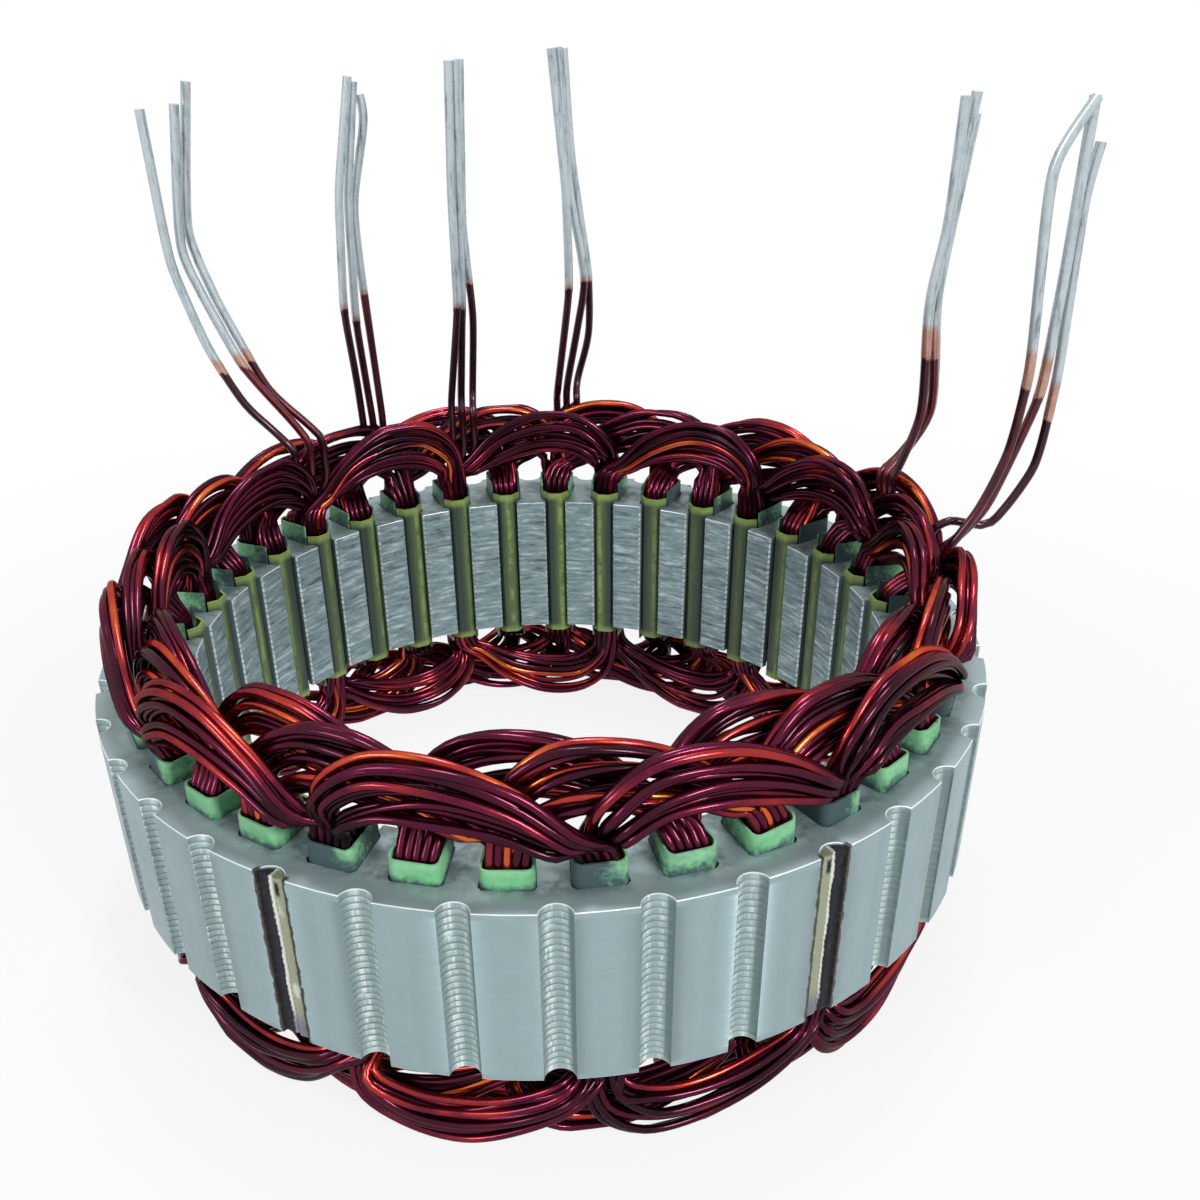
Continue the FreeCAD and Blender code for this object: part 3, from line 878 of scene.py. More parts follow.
        with Mesher.editing(obj):
            Mesher.pick_edges(obj, at_rim)
            bpy.ops.mesh.bevel(offset=self.burr_width * MM, segments=2, affect="EDGES", clamp_overlap=True)

    def zone(self, face: bpy.types.MeshPolygon) -> SteelZone:
        """Kind of surface that a face belongs to."""
        layout = self.layout
        radius = math.hypot(face.center[0] / MM, face.center[1] / MM)
        if abs(face.normal.z) > 0.9:
            return SteelZone.END_FACE
        if radius < layout.bore_radius + self.tooth_chamfer + 0.05:
            return SteelZone.TOOTH
        if layout.slot_bottom + 1.0 < radius < layout.outer_radius - 0.06:
            return SteelZone.GROOVE
        return SteelZone.WALL

    def store_zones(self, obj: bpy.types.Object) -> None:
        """Store the kind of surface of each face, its burred rim with painted highlight, and painted
        highlights on the grooves' lit wall and the tooth chamfers.
        """
        layout = self.layout
        dice = random.Random(31)
        zones = []
        burrs = []
        glints = []
        for face in obj.data.polygons:
            centre = Vector(face.center) / MM
            radius = math.hypot(centre.x, centre.y)
            flat = abs(face.normal.z)
            lip = abs(Vector((face.normal.x, face.normal.y)).dot(Vector((centre.x, centre.y)))) / radius
            zone = self.zone(face)
            zones.append(zone.value)
            # Bevelled rims of the end sheets: partly bright burred metal, partly a painted highlight.
            burrs.append(float(0.15 < flat < 0.97 and abs(abs(centre.z) - layout.half_stack) < 0.15))
            share = (centre.z + layout.half_stack) / self.pitch
            body = abs(share - math.floor(share) - 0.5) < 0.3
            glint = 0.0
            if zone is SteelZone.TOOTH and 0.3 < lip < 0.93 and flat < 0.5:
                # Painted highlight: bright dots, one to a sheet, on the tooth chamfers; they also stand for
                # the chamfers' bright burred edges.
                glint = dice.uniform(0.35, 1.0) if body else 0.0
            elif zone is SteelZone.GROOVE and body and flat < 0.5:
                off = self.off_groove(centre)
                # Painted highlight, strongest on the groove wall that faces the key lamp, weaker on the
                # other wall.
                side = max(1.6 - abs(off + 0.85) / 0.4, 0.8 - abs(off - 0.85) / 0.6, 0.0)
                glint = min(side, 1.0) * dice.uniform(0.15, 0.95)
            glints.append(glint)
        Mesher.store(obj, "FACE", zone=zones, burr=burrs, glint=glints)

    def store_heat(self, obj: bpy.types.Object) -> None:
        """Store the heat tint round the welds, strongest at the end faces."""
        layout = self.layout
        spots = [polar(layout.outer_radius - 1.2, angle) / MM for angle in WELD_ANGLES]
        heats = []
        for vert in obj.data.vertices:
            place = vert.co / MM
            away = min(math.hypot(place.x - spot.x, place.y - spot.y) for spot in spots)
            heat = max(0.0, 1.40 - away / 2.3)
            if abs(place.z) < layout.half_stack - 0.15:
                heat *= 0.4
            heats.append(min(1.0, heat))
        Mesher.store(obj, "POINT", heat=heats)

    def build(self) -> bpy.types.Object:
        """Build the dressed core in place of its node."""
        obj = Mesher.copy_node("laminated_core", "core_laminations")
        self.slice_sheets(obj)
        self.chamfer_teeth(obj)
        self.notch_sheets(obj)
        self.roll_edges(obj)
        self.store_zones(obj)
        self.store_heat(obj)
        Mesher.only(obj)
        bpy.ops.object.shade_smooth_by_angle(angle=math.radians(24.0))
        Mesher.finish(obj, self.finish.make(), "core_steel", "laminated_core")
        return obj


@dataclass
class WeldBeads:
    """Rippled beads in six of the outer grooves, burnt along one side."""

    finish: WeldFinish
    layout: SlotLayout = LAYOUT
    half_width: float = 1.88
    seat_gap: float = 0.06
    least: float = 0.12
    seam_depth: float = 0.38
    seam_width: float = 0.14
    crown: float = 0.22
    ripple: float = 0.05
    ripple_pitch: float = 0.9
    end_gap: float = 0.32
    columns: int = 16
    rows: int = 110

    def wall(self, across: float) -> float:
        """Distance from the axis where the bead meets the groove's wall, at a place across."""
        layout = self.layout
        centre = layout.outer_radius - layout.groove_depth + layout.groove_radius
        reach = layout.groove_radius - self.seat_gap
        return centre - math.sqrt(max(reach ** 2 - (across * self.half_width) ** 2, 0.0))

    def profile(self, across: float, along: float) -> float:
        """Distance of the bead's face from the axis at a place across (-1..1) and along it."""
        seam = self.seam_depth * math.exp(-(((across - 0.02) / self.seam_width) ** 2))
        swell = self.wall(1.0) + self.crown * (1.0 - across ** 2) - seam
        wave = math.sin(2 * math.pi * (along / self.ripple_pitch + 0.35 * across ** 2))
        swell += self.ripple * wave * (1.0 - across ** 2)
        return max(swell, self.wall(across) + self.least)

    def build_one(self, angle: float, side: float) -> bpy.types.Object:
        """Shape one bead from a grid and close it against the groove.

        Args:
            angle: angle of the groove in degrees.
            side: +1 or -1, which side of the bead is burnt.

        Returns:
            The bead as an object of its own.
        """
        bpy.ops.mesh.primitive_grid_add(x_subdivisions=self.columns, y_subdivisions=self.rows, size=2.0)
        obj = Mesher.adopt("weld_bead")
        length = self.layout.half_stack - self.end_gap
        outward = polar(1.0, angle) / MM
        sideways = polar(1.0, angle + 90.0) / MM
        with Mesher.editing(obj):
            bpy.ops.mesh.extrude_region_move(TRANSFORM_OT_translate={"value": (0.0, 0.0, -1.0)})
            mesh = bmesh.from_edit_mesh(obj.data)
            across_layer = mesh.verts.layers.float.new("across")
            along_layer = mesh.verts.layers.float.new("along")
            for vert in mesh.verts:
                across, lengthwise, depth = vert.co
                front = depth > -0.5
                distance = self.profile(across, lengthwise * length) if front else self.wall(across)
                vert[across_layer] = across * side
                vert[along_layer] = lengthwise * 0.5 + 0.5
                spot = outward * distance + sideways * across * self.half_width
                vert.co = (spot + Vector((0.0, 0.0, lengthwise * length))) * MM
            bmesh.ops.recalc_face_normals(mesh, faces=mesh.faces)
            bmesh.update_edit_mesh(obj.data)
        bpy.ops.object.shade_smooth_by_angle(angle=math.radians(50.0))
        return obj

    def build(self) -> bpy.types.Object:
        """Build the six beads as one piece, as their node groups them."""
        sides = (-1.0, 1.0) * (len(WELD_ANGLES) // 2)
        beads = [self.build_one(angle, side) for angle, side in zip(WELD_ANGLES, sides)]
        obj = Mesher.join(beads, "weld_beads")
        Mesher.finish(obj, self.finish.make(), "weld_metal", "core_weld_beads")
        return obj


@dataclass
class SlotLiners:
    """Folded insulation sheets, one to a slot, with their cuffs proud of both ends."""

    finish: LinerFinish
    layout: SlotLayout = LAYOUT
    thickness: float = 0.3
    seat_gap: float = 0.08
    projection: float = 2.2
    mouth: float = 55.53
    fold_radius: float = 1.25

    def build_master(self) -> bpy.types.Object:
        """Fold one liner out of a flat sheet at angle zero, outwards along +X."""
        layout = self.layout
        inset = self.seat_gap + self.thickness / 2
        bottom = layout.slot_bottom - inset
        half_bottom = layout.half_width(bottom, inset)
        half_mouth = layout.half_width(self.mouth, inset)
        reach = layout.half_stack + self.projection
        bpy.ops.mesh.primitive_plane_add(size=2.0)
        obj = Mesher.adopt("slot_liner")

        def at_fold(edge: bmesh.types.BMEdge, side: float) -> bool:
            """True for the upright edge of the slot's bottom on one side."""
            ends = [vert.co / MM for vert in edge.verts]
            on_side = all(abs(end.y - side * half_bottom) < TOUCH for end in ends)
            return on_side and all(abs(end.x - bottom) < TOUCH for end in ends)

        with Mesher.editing(obj):
            mesh = bmesh.from_edit_mesh(obj.data)
            for vert in mesh.verts:
                vert.co = Vector((bottom, vert.co.x * half_bottom, vert.co.y * reach)) * MM
            bmesh.update_edit_mesh(obj.data)
            for side in (-1.0, 1.0):
                Mesher.pick_edges(obj, lambda edge: at_fold(edge, side))
                step = ((self.mouth - bottom) * MM, side * (half_mouth - half_bottom) * MM, 0.0)
                bpy.ops.mesh.extrude_region_move(TRANSFORM_OT_translate={"value": step})
            Mesher.pick_edges(obj, lambda edge: at_fold(edge, -1.0) or at_fold(edge, 1.0))
            bpy.ops.mesh.bevel(offset=self.fold_radius * MM, segments=6, affect="EDGES")
            Mesher.cut_all((-layout.half_stack, 0.0, layout.half_stack, reach - 0.9, 0.9 - reach))
        return obj

    def place(self, master: bpy.types.Object, slot: int) -> bpy.types.Object:
        """Copy the folded sheet into a slot, a little uneven at its ends.

        Args:
            master: the folded liner at angle zero.
            slot: number of the slot, from 0.

        Returns:
            The finished liner.
        """
        layout = self.layout
        dice = random.Random(400 + slot)
        obj = Mesher.link("liner_%02d" % (slot + 1), master.data.copy())
        lift = [dice.uniform(-1.2, -0.5) for _ in range(2)]
        lean = dice.uniform(-0.10, 0.12)
        for vert in obj.data.vertices:
            x, y, z = vert.co / MM
            over = (abs(z) - layout.half_stack) / self.projection
            if over > 0.05:
                pick = lift[0] if y < 0 else lift[1]
                z += math.copysign(over * (pick + 0.16 * math.sin(x * 1.7 + slot)), z)
                x -= over * abs(lean) * 0.6
                y *= 1.0 - 0.03 * over
            vert.co = Vector((x, y, z)) * MM
        solid = obj.modifiers.new("sheet", "SOLIDIFY")
        solid.thickness = self.thickness * MM
        solid.offset = 0.0
        bpy.ops.object.modifier_apply(modifier="sheet")
        stains = []
        edges = []
        shade_border = dice.uniform(-0.6, 0.6)
        grime = dice.uniform(0.0, 0.34)
        for vert in obj.data.vertices:
            x, y, z = vert.co / MM
            stain = grime
            # Painted shade: a dark band on one side of each phase-A liner, under the arches' lowest wires.
            if slot % layout.phases == 0:
                stain = max(grime, 1.0 if y < 1.0 + shade_border else 0.35)
            # Darker on the inner half towards the bore and at the cuff's foot: partly soiling, partly
            # painted shade where the cuff meets the core.
            if x < 58.5 or abs(z) < layout.half_stack + 0.05:
                stain = max(stain, 0.62)
            stains.append(stain)
            edges.append(1.0 if abs(z) > layout.half_stack + self.projection - 0.45 else 0.0)
        Mesher.store(obj, "POINT", stain=stains, cut_edge=edges)
        obj.data.transform(Matrix.Rotation(math.radians(layout.angle(slot)), 4, "Z"))
        with Mesher.editing(obj):
            bpy.ops.mesh.normals_make_consistent(inside=False)
        bpy.ops.object.shade_smooth_by_angle(angle=math.radians(40.0))
        return obj

    def build(self) -> list[bpy.types.Object]:
        """Build the 36 liners, each in place of its node."""
        material = self.finish.make()
        master = self.build_master()
        pieces = []
        for slot in range(self.layout.count):
            obj = self.place(master, slot)
            Mesher.finish(obj, material, "liner_sheet", "slot_liner_%02d" % (slot + 1))
            pieces.append(obj)
        bpy.data.objects.remove(master)
        return pieces


@dataclass
class SlotWedges:
    """Folded strips behind the tooth tips, which close the slots towards the bore."""

    finish: WedgeFinish
    layout: SlotLayout = LAYOUT
    fold_round: float = 0.14
    projection: float = 1.5

    def store_bands(self, obj: bpy.types.Object) -> None:
        """Store the place across each strip, where its painted highlight band lies, its soaking and its cut
        ends.
        """
        layout = self.layout
        across = []
        bands = []
        soaks = []
        edges = []
        for vert in obj.data.vertices:
            place = vert.co / MM
            turn = math.degrees(math.atan2(place.y, place.x)) - layout.first_angle
            slot = round(turn / layout.pitch)
            sideways = math.radians(turn - slot * layout.pitch) * math.hypot(place.x, place.y)
            across.append(sideways / (layout.opening / 2))
            dice = random.Random(70 + slot % layout.count)
            bands.append(dice.uniform(-0.75, 0.75))
            soaks.append(max(0.0, dice.uniform(-0.35, 0.95)))
            edges.append(1.0 if abs(place.z) > layout.half_stack + self.projection - 0.6 else 0.0)
        Mesher.store(obj, "POINT", across=across, band=bands, soak=soaks, cut_edge=edges)

    def build(self) -> list[bpy.types.Object]:
        """Round the folds of each pole's three strips."""
        material = self.finish.make()
        pieces = []
        for pole in range(self.layout.poles):
            node = "slot_wedges_pole_%02d" % (pole + 1)
            obj = Mesher.copy_node(node, "wedges_pole_%02d" % (pole + 1))
            half = self.layout.half_stack
            reach = half + self.projection
            with Mesher.editing(obj):
                bpy.ops.mesh.dissolve_limited(angle_limit=math.radians(1.0))
                Mesher.pick_edges(obj, lambda edge: abs(edge.verts[0].co.z - edge.verts[1].co.z) > 0.01)
                bpy.ops.mesh.bevel(offset=self.fold_round * MM, segments=3, affect="EDGES")
                Mesher.cut_all((0.5 - reach, -half, half, reach - 0.5))
            self.store_bands(obj)
            bpy.ops.object.shade_smooth_by_angle(angle=math.radians(35.0))
            Mesher.finish(obj, material, "wedge_strip", node)
            pieces.append(obj)
        return pieces


@dataclass(frozen=True)
class CrownShape:
    """Shape of the coil arches over each end of the core, in millimetres."""

    layout: SlotLayout = LAYOUT
    copper_inset: float = 0.58
    copper_inner: float = 55.57
    bend_start: float = 2.5
    height: float = 18.0
    outer_radius: float = 63.8
    thickness: float = 2.6
    layer_gap: float = 0.6
    lean: float = 0.12
    lean_height: float = 12.0
    split_height: float = 2.3
    group_gap: float = 0.16
    stations: Sequence[tuple[float, float, float, float]] = (
        (0.160, 0.16, 0.080, 0.36),
        (0.360, 0.25, 0.280, 0.72),
        (0.580, 0.32, 0.560, 0.97),
        (0.780, 0.29, 0.840, 0.93),
        (0.920, 0.20, 1.020, 0.62),
    )

    @property
    def copper_outer(self) -> float:
        """Radius where the copper ends against the slot's bottom."""
        return self.layout.slot_bottom - self.copper_inset

    @property
    def reach(self) -> float:
        """Height of the arches' tops above the core."""
        return self.rise(max(share for _, _, _, share in self.stations))

    def rise(self, share: float) -> float:
        """Height above the core at a share of an arch's climb."""
        return self.bend_start + (self.height - self.bend_start) * share

    def layer_range(self, layer: int, height: float) -> tuple[float, float]:
        """Inner and outer radius of a crown layer at a height above the core."""
        outer = self.outer_radius - layer * (self.thickness + self.layer_gap)
        outer += self.lean * (self.lean_height - height)
        return outer - self.thickness, outer

    def middle(self, layer: int, height: float) -> float:
        """Radius of the middle of a crown layer at a height above the core."""
        return sum(self.layer_range(layer, height)) / 2

    def slot_spot(
        self, group: WireGroup, deep: float, side: float, margin: float
    ) -> tuple[float, float]:
        """Place of a wire in its half of the slot.

        Args:
            group: which half of the slot.
            deep: 0 next to the other half, 1 furthest from it.
            side: -1 to 1 across the slot.
            margin: room kept at the slot's sides, half a wire.

        Returns:
            Sideways offset and radius.
        """
        middle = (self.copper_inner + self.copper_outer) / 2
        near = middle + self.group_gap / 2 + margin
        far = self.copper_outer - margin
        if group is WireGroup.FRONT:
            near = middle - self.group_gap / 2 - margin
            far = self.copper_inner + margin
        radius = lerp(near, far, deep)
        return side * (self.layout.half_width(radius, self.copper_inset) - margin), radius

    def arch_spot(self, layer: int, station: int, low: float, out: float, margin: float) -> Point:
        """Place of a wire in an arch's section.

        Args:
            layer: crown layer.
            station: number of the section.
            low: 0 on the high edge, 1 on the low edge.
            out: 0 on the inner side, 1 on the outer side.
            margin: half a wire.

        Returns:
            Share of the travel, radius and height above the core.
        """
        low_share, low_rise, high_share, high_rise = self.stations[station]
        share = lerp(high_share, low_share, low)
        rise = self.rise(lerp(high_rise, low_rise, low)) - margin * (1.0 - 2.0 * low)
        inner, outer = self.layer_range(layer, rise)
        return share, lerp(inner + margin, outer - margin, out), rise


CROWN = CrownShape()


@dataclass
class WirePath:
    """Smooth line through a chain of points."""

    points: list[Vector]
    closed: bool
    step: float = 1.5 * MM
    limit: float = math.inf

    def sample(self) -> list[Vector]:
        """Points of a centripetal spline through the chain, about one step apart.

        Returns:
            The points, none of them higher or lower than the limit.
        """
        chain = self.points
        count = len(chain)
        result: list[Vector] = []
        last = count if self.closed else count - 1
        for index in range(last):
            p1 = chain[index]
            p2 = chain[(index + 1) % count]
            p0 = chain[index - 1] if self.closed or index > 0 else p1 * 2 - p2
            after = index + 2
            p3 = chain[after % count] if self.closed or after < count else p2 * 2 - p1
            result.extend(self.piece(p0, p1, p2, p3))
        if not self.closed:
            result.append(chain[-1])
        return [Vector((spot.x, spot.y, min(max(spot.z, -self.limit), self.limit))) for spot in result]

    def piece(self, p0: Vector, p1: Vector, p2: Vector, p3: Vector) -> list[Vector]:
        """Samples of one span between p1 and p2, without its end."""
        gaps = [max((b - a).length, 1e-6) ** 0.5 for a, b in ((p0, p1), (p1, p2), (p2, p3))]
        t0 = 0.0
        t1 = gaps[0]
        t2 = t1 + gaps[1]
        t3 = t2 + gaps[2]
        ahead = (p2 - p1).normalized()
        straight = min(ahead.dot((p1 - p0).normalized()), ahead.dot((p3 - p2).normalized())) > 0.999
        steps = 1 if straight else max(1, round((p2 - p1).length / self.step))
        spots = []
        for number in range(steps):
            now = t1 + (t2 - t1) * number / steps
            a1 = blend(p0, p1, t0, t1, now)
            a2 = blend(p1, p2, t1, t2, now)
            a3 = blend(p2, p3, t2, t3, now)
            b1 = blend(a1, a2, t0, t2, now)
            b2 = blend(a2, a3, t1, t3, now)
            spots.append(blend(b1, b2, t1, t2, now))
        return spots

    def tube(self, name: str, radii: Sequence[float], rings: int) -> bpy.types.Object:
        """Round wire along the line.

        Args:
            name: name of the object.
            radii: one radius in metres, or one for each sample.
            rings: bevel resolution, more is rounder.

        Returns:
            The wire as a mesh object.
        """
        spots = self.sample()
        curve = bpy.data.curves.new(name, "CURVE")
        curve.dimensions = "3D"
        curve.bevel_depth = radii[0]
        curve.bevel_resolution = rings
        curve.use_fill_caps = not self.closed
        spline = curve.splines.new("POLY")
        spline.points.add(len(spots) - 1)
        for index, spot in enumerate(spots):
            spline.points[index].co = (spot.x, spot.y, spot.z, 1.0)
            radius = radii[min(index, len(radii) - 1)]
            spline.points[index].radius = radius / radii[0]
        spline.use_cyclic_u = self.closed
        Mesher.link(name, curve)
        bpy.ops.object.convert(target="MESH")
        obj = Mesher.adopt(name)
        bpy.ops.object.shade_smooth()
        return obj


@dataclass
class WaveWinding:
    """One phase: two groups of wires that run in closed waves through its twelve slots."""

    phase: PhaseLayer
    finish_material: bpy.types.Material
    layout: SlotLayout = LAYOUT
    crown: CrownShape = CROWN
    wire_radius: float = 0.58
    shake: float = 0.20
    slot_shake: float = 0.13
    low_lift: float = 1.0
    loose_share: float = 0.12
    orange_share: float = 0.26
    rear_rows: Sequence[int] = (3, 4, 5)
    front_rows: Sequence[int] = (4, 4, 4)

    def slot_places(self, group: WireGroup) -> list[tuple[float, float]]:
        """Places of a group's wires in its half of a slot, in the order of the fan.

        Args:
            group: wave group of the wires.

        Returns:
            Depth and side of each wire, those furthest from the arch first.
        """
        rows = self.rear_rows if group is WireGroup.REAR else self.front_rows
        places = []
        for row, count in enumerate(rows):
            stagger = 0.13 * (1 if row % 2 else -1) if group is WireGroup.FRONT else 0.0
            for column in range(count):
                side = 2.0 * column / (count - 1) - 1.0
                places.append((row / (len(rows) - 1), side * 0.87 + stagger))
        return sorted(places, key=lambda place: -place[1])

    def wire_points(
        self, group: WireGroup, rank: int, place: tuple[float, float], wires: int
    ) -> list[Vector]:
        """Chain of points for one wire, all the way round the stator.

        Args:
            group: wave group of the wire.
            rank: place in the fan, 0 for the highest wire.
            place: depth and side in the slot.
            wires: number of wires in the group.

        Returns:
            Points of the closed chain. A wire that leaves a slot on its far side comes into the
            next on its near side, so that the wires of an arch never cross.
        """
        layout = self.layout
        seed = self.phase.layer * 1000 + (0 if group is WireGroup.REAR else 500)
        dice = random.Random(seed + rank)
        first_pole = 0 if group is WireGroup.REAR else 1
        chain: list[Vector] = []
        for step in range(layout.poles):
            start = layout.angle(self.phase.first_slot) + layout.span * (first_pole - step)
            end = 1.0 if step % 2 == 0 else -1.0
            turned = (place[0], place[1] * end)
            order = rank if end > 0.0 else wires - 1 - rank
            arch_dice = random.Random(seed * 31 + step)
            split = arch_dice.uniform(0.50, 0.72)
            gap = arch_dice.uniform(0.02, 0.16)
            fan = []
            for _ in range(2):
                low = min(max((order + dice.uniform(-1.9, 1.9)) / (wires - 1), 0.0), 1.0)
                fan.append(low * (1.0 - gap) + (gap if low > split else 0.0))
            out = ((rank * 2) % 3) / 2 * 0.84 + 0.08 + dice.uniform(-0.10, 0.10)
            loose = dice.uniform(0.3, 0.9) if dice.random() < self.loose_share else 0.0
            chain.extend(self.arch(start, end, group, turned, (fan[0], fan[1]), out, loose, dice))
        return chain

    def arch(
        self,
        start: float,
        end: float,
        group: WireGroup,
        place: tuple[float, float],
        fan: tuple[float, float],
        out: float,
        loose: float,
        dice: random.Random,
    ) -> list[Vector]:
        """Points of one arch, from its slot to the phase's next slot clockwise.

        Args:
            start: angle of the first slot.
            end: +1 over the top, -1 under the bottom.
            group: wave group of the wire.
            place: depth and side in the first slot; the side is the other one in the next slot.
            fan: place in the fan at the arch's start and end, 0 at the high edge.
            out: place across the crown layer.
            loose: how far the wire stands off its neighbours at mid-arch.
            dice: seeded source of the unevenness.

        Returns:
            Points in metres.
        """
        layout = self.layout
        crown = self.crown
        layer = self.phase.layer
        margin = self.wire_radius
        half = layout.half_stack
        top = crown.reach - margin - 0.1

        def spot(share: float, radius: float, rise: float, sideways: float = 0.0) -> Vector:
            angle = start - layout.span * share + math.degrees(math.atan2(sideways, radius))
            return polar(radius, angle, end * (half + min(rise, top)))

        x, radius = crown.slot_spot(group, place[0], place[1], margin)
        first = crown.arch_spot(layer, 0, fan[0], out, margin)
        last = crown.arch_spot(layer, len(crown.stations) - 1, fan[1], out, margin)
        knee_rise = crown.bend_start + crown.split_height
        mouth = dice.uniform(-1.0, 1.0) * self.slot_shake
        points = [spot(0.0, radius, 0.0, x), spot(0.0, radius + mouth, crown.bend_start * 0.8, x + mouth)]
        knee = lerp(radius, first[1], 0.45)
        points.append(spot(first[0] * 0.22, knee, lerp(knee_rise, first[2], 0.1), x * 0.92))
        count = len(crown.stations)
        for station in range(count):
            low = lerp(fan[0], fan[1], station / (count - 1))
            share, ring, rise = crown.arch_spot(layer, station, low, out, margin)
            stand = loose if 0 < station < count - 1 else 0.0
            rise += low * self.low_lift if 0 < station < count - 1 else 0.0
            share += dice.uniform(-1.0, 1.0) * 0.008
            ring += dice.uniform(-1.0, 1.0) * self.shake + stand * 0.5
            rise += dice.uniform(-1.4, 1.4) * self.shake + stand
            points.append(spot(share, ring, rise))
        knee = lerp(radius, last[1], 0.45)
        hook = (last[0] - 1.0) * 0.3
        points.append(spot(1.0 + hook, knee, lerp(knee_rise, last[2], 0.1), -x * 0.92))
        points.append(spot(1.0, radius, crown.bend_start * 0.8, -x))
        points.append(spot(1.0, radius, 0.0, -x))
        return points

    def build(self) -> bpy.types.Object:
        """Build all the phase's wires as one piece."""
        dice = random.Random(90 + self.phase.layer)
        limit = (self.layout.half_stack + self.crown.reach - self.wire_radius - 0.03) * MM
        wires = []
        for group in WireGroup:
            places = self.slot_places(group)
            for rank, place in enumerate(places):
                path = WirePath(self.wire_points(group, rank, place, len(places)), True, limit=limit)
                wire = path.tube("wire", [self.wire_radius * MM], 2)
                tone = dice.uniform(0.05, 0.50)
                if dice.random() < self.orange_share:
                    tone = dice.uniform(0.55, 0.90)
                Mesher.store(wire, "POINT", tone=[tone] * len(wire.data.vertices))
                wires.append(wire)
        obj = Mesher.join(wires, "winding_phase_" + self.phase.letter)
        node = "phase_%s_winding" % self.phase.letter
        Mesher.finish(obj, self.finish_material, "enamelled_wire", node)
        return obj


@dataclass(frozen=True)
class LeadWire:
    """One lead: where it leaves the crown, its bends, and where its enamel ends.

    The bends are (sideways from the middle wire's foot, height above the core) in millimetres.
    """

    angle: float
    bends: tuple[tuple[float, float], ...]
    enamel_end: float


@dataclass(frozen=True)
class LeadSet:
    """Three lead wires that stand together."""

    node: str
    phase: PhaseLayer
    bare_length: float
    wires: tuple[LeadWire, LeadWire, LeadWire]


LEAD_SETS = (
    LeadSet("phase_c_start_leads", PhaseLayer.C, 2.2, (
        LeadWire(137.8, ((-5.6, 21.5), (-9.6, 25.8), (-14.3, 35.7), (-18.1, 49.4), (-18.7, 72.7)), 31.6),
        LeadWire(134.2, ((-0.9, 20.3), (-9.3, 31.8), (-13.8, 43.0), (-16.6, 51.0), (-13.7, 73.1)), 31.8),
        LeadWire(131.2, ((1.2, 19.8), (-5.9, 27.1), (-12.5, 42.9), (-15.5, 53.5), (-11.8, 76.0)), 32.3),
    )),
    LeadSet("phase_b_start_leads", PhaseLayer.B, 0.7, (
        LeadWire(121.0, ((-1.9, 26.0), (-2.9, 38.5), (-1.7, 57.5), (1.7, 75.3)), 38.5),
        LeadWire(119.1, ((-0.4, 24.0), (-1.2, 36.2), (-0.5, 56.0), (2.3, 74.4)), 36.2),
        LeadWire(117.2, ((1.2, 27.0), (0.3, 44.5), (0.1, 55.0), (3.4, 68.5), (2.9, 72.3)), 40.5),
    )),
    LeadSet("phase_c_finish_leads", PhaseLayer.C, 0.7, (
        LeadWire(104.7, ((-1.7, 20.0), (0.6, 37.5), (0.7, 56.6), (1.5, 76.8)), 37.5),
        LeadWire(102.7, ((0.1, 20.0), (1.3, 36.9), (2.4, 76.7)), 36.9),
        LeadWire(100.6, ((2.2, 20.0), (3.2, 35.0), (2.1, 50.1), (3.2, 76.7)), 40.7),
    )),
    LeadSet("phase_a_finish_leads", PhaseLayer.A, 0.7, (
        LeadWire(84.7, ((-1.7, 20.0), (0.8, 38.3), (0.5, 55.0), (-1.6, 77.6)), 38.3),
        LeadWire(83.0, ((0.1, 20.0), (2.0, 29.4), (3.9, 39.4), (1.1, 55.0), (-0.4, 77.6)), 39.4),
        LeadWire(81.2, ((2.0, 20.0), (4.6, 29.0), (4.6, 39.5), (1.6, 60.2), (0.6, 77.3)), 38.9),
    )),
    LeadSet("phase_b_finish_leads", PhaseLayer.B, 4.6, (
        LeadWire(13.2, ((0.9, 19.6), (3.6, 27.8), (2.5, 45.7), (3.9, 56.0), (4.0, 73.3)), 37.0),
        LeadWire(15.0, ((1.0, 19.6), (5.8, 27.5), (4.0, 45.2), (4.6, 58.4), (6.1, 73.6)), 36.4),
        LeadWire(16.8, ((1.4, 19.6), (6.5, 27.0), (4.7, 45.2), (6.9, 70.6)), 34.5),
    )),
    LeadSet("phase_a_start_leads", PhaseLayer.A, 5.6, (
        LeadWire(0.9, ((4.3, 17.0), (7.5, 26.2), (8.5, 38.0), (6.8, 66.2), (11.3, 74.0)), 35.8),
        LeadWire(2.7, ((2.6, 12.2), (6.2, 16.8), (11.4, 34.0), (11.8, 52.3), (11.6, 74.0)), 33.8),
        LeadWire(
            4.5,
            ((1.4, 14.3), (4.0, 13.7), (8.0, 12.9), (13.4, 22.3), (14.2, 36.0), (13.4, 61.3), (14.3, 68.1)),
            29.7,
        ),
    )),
)


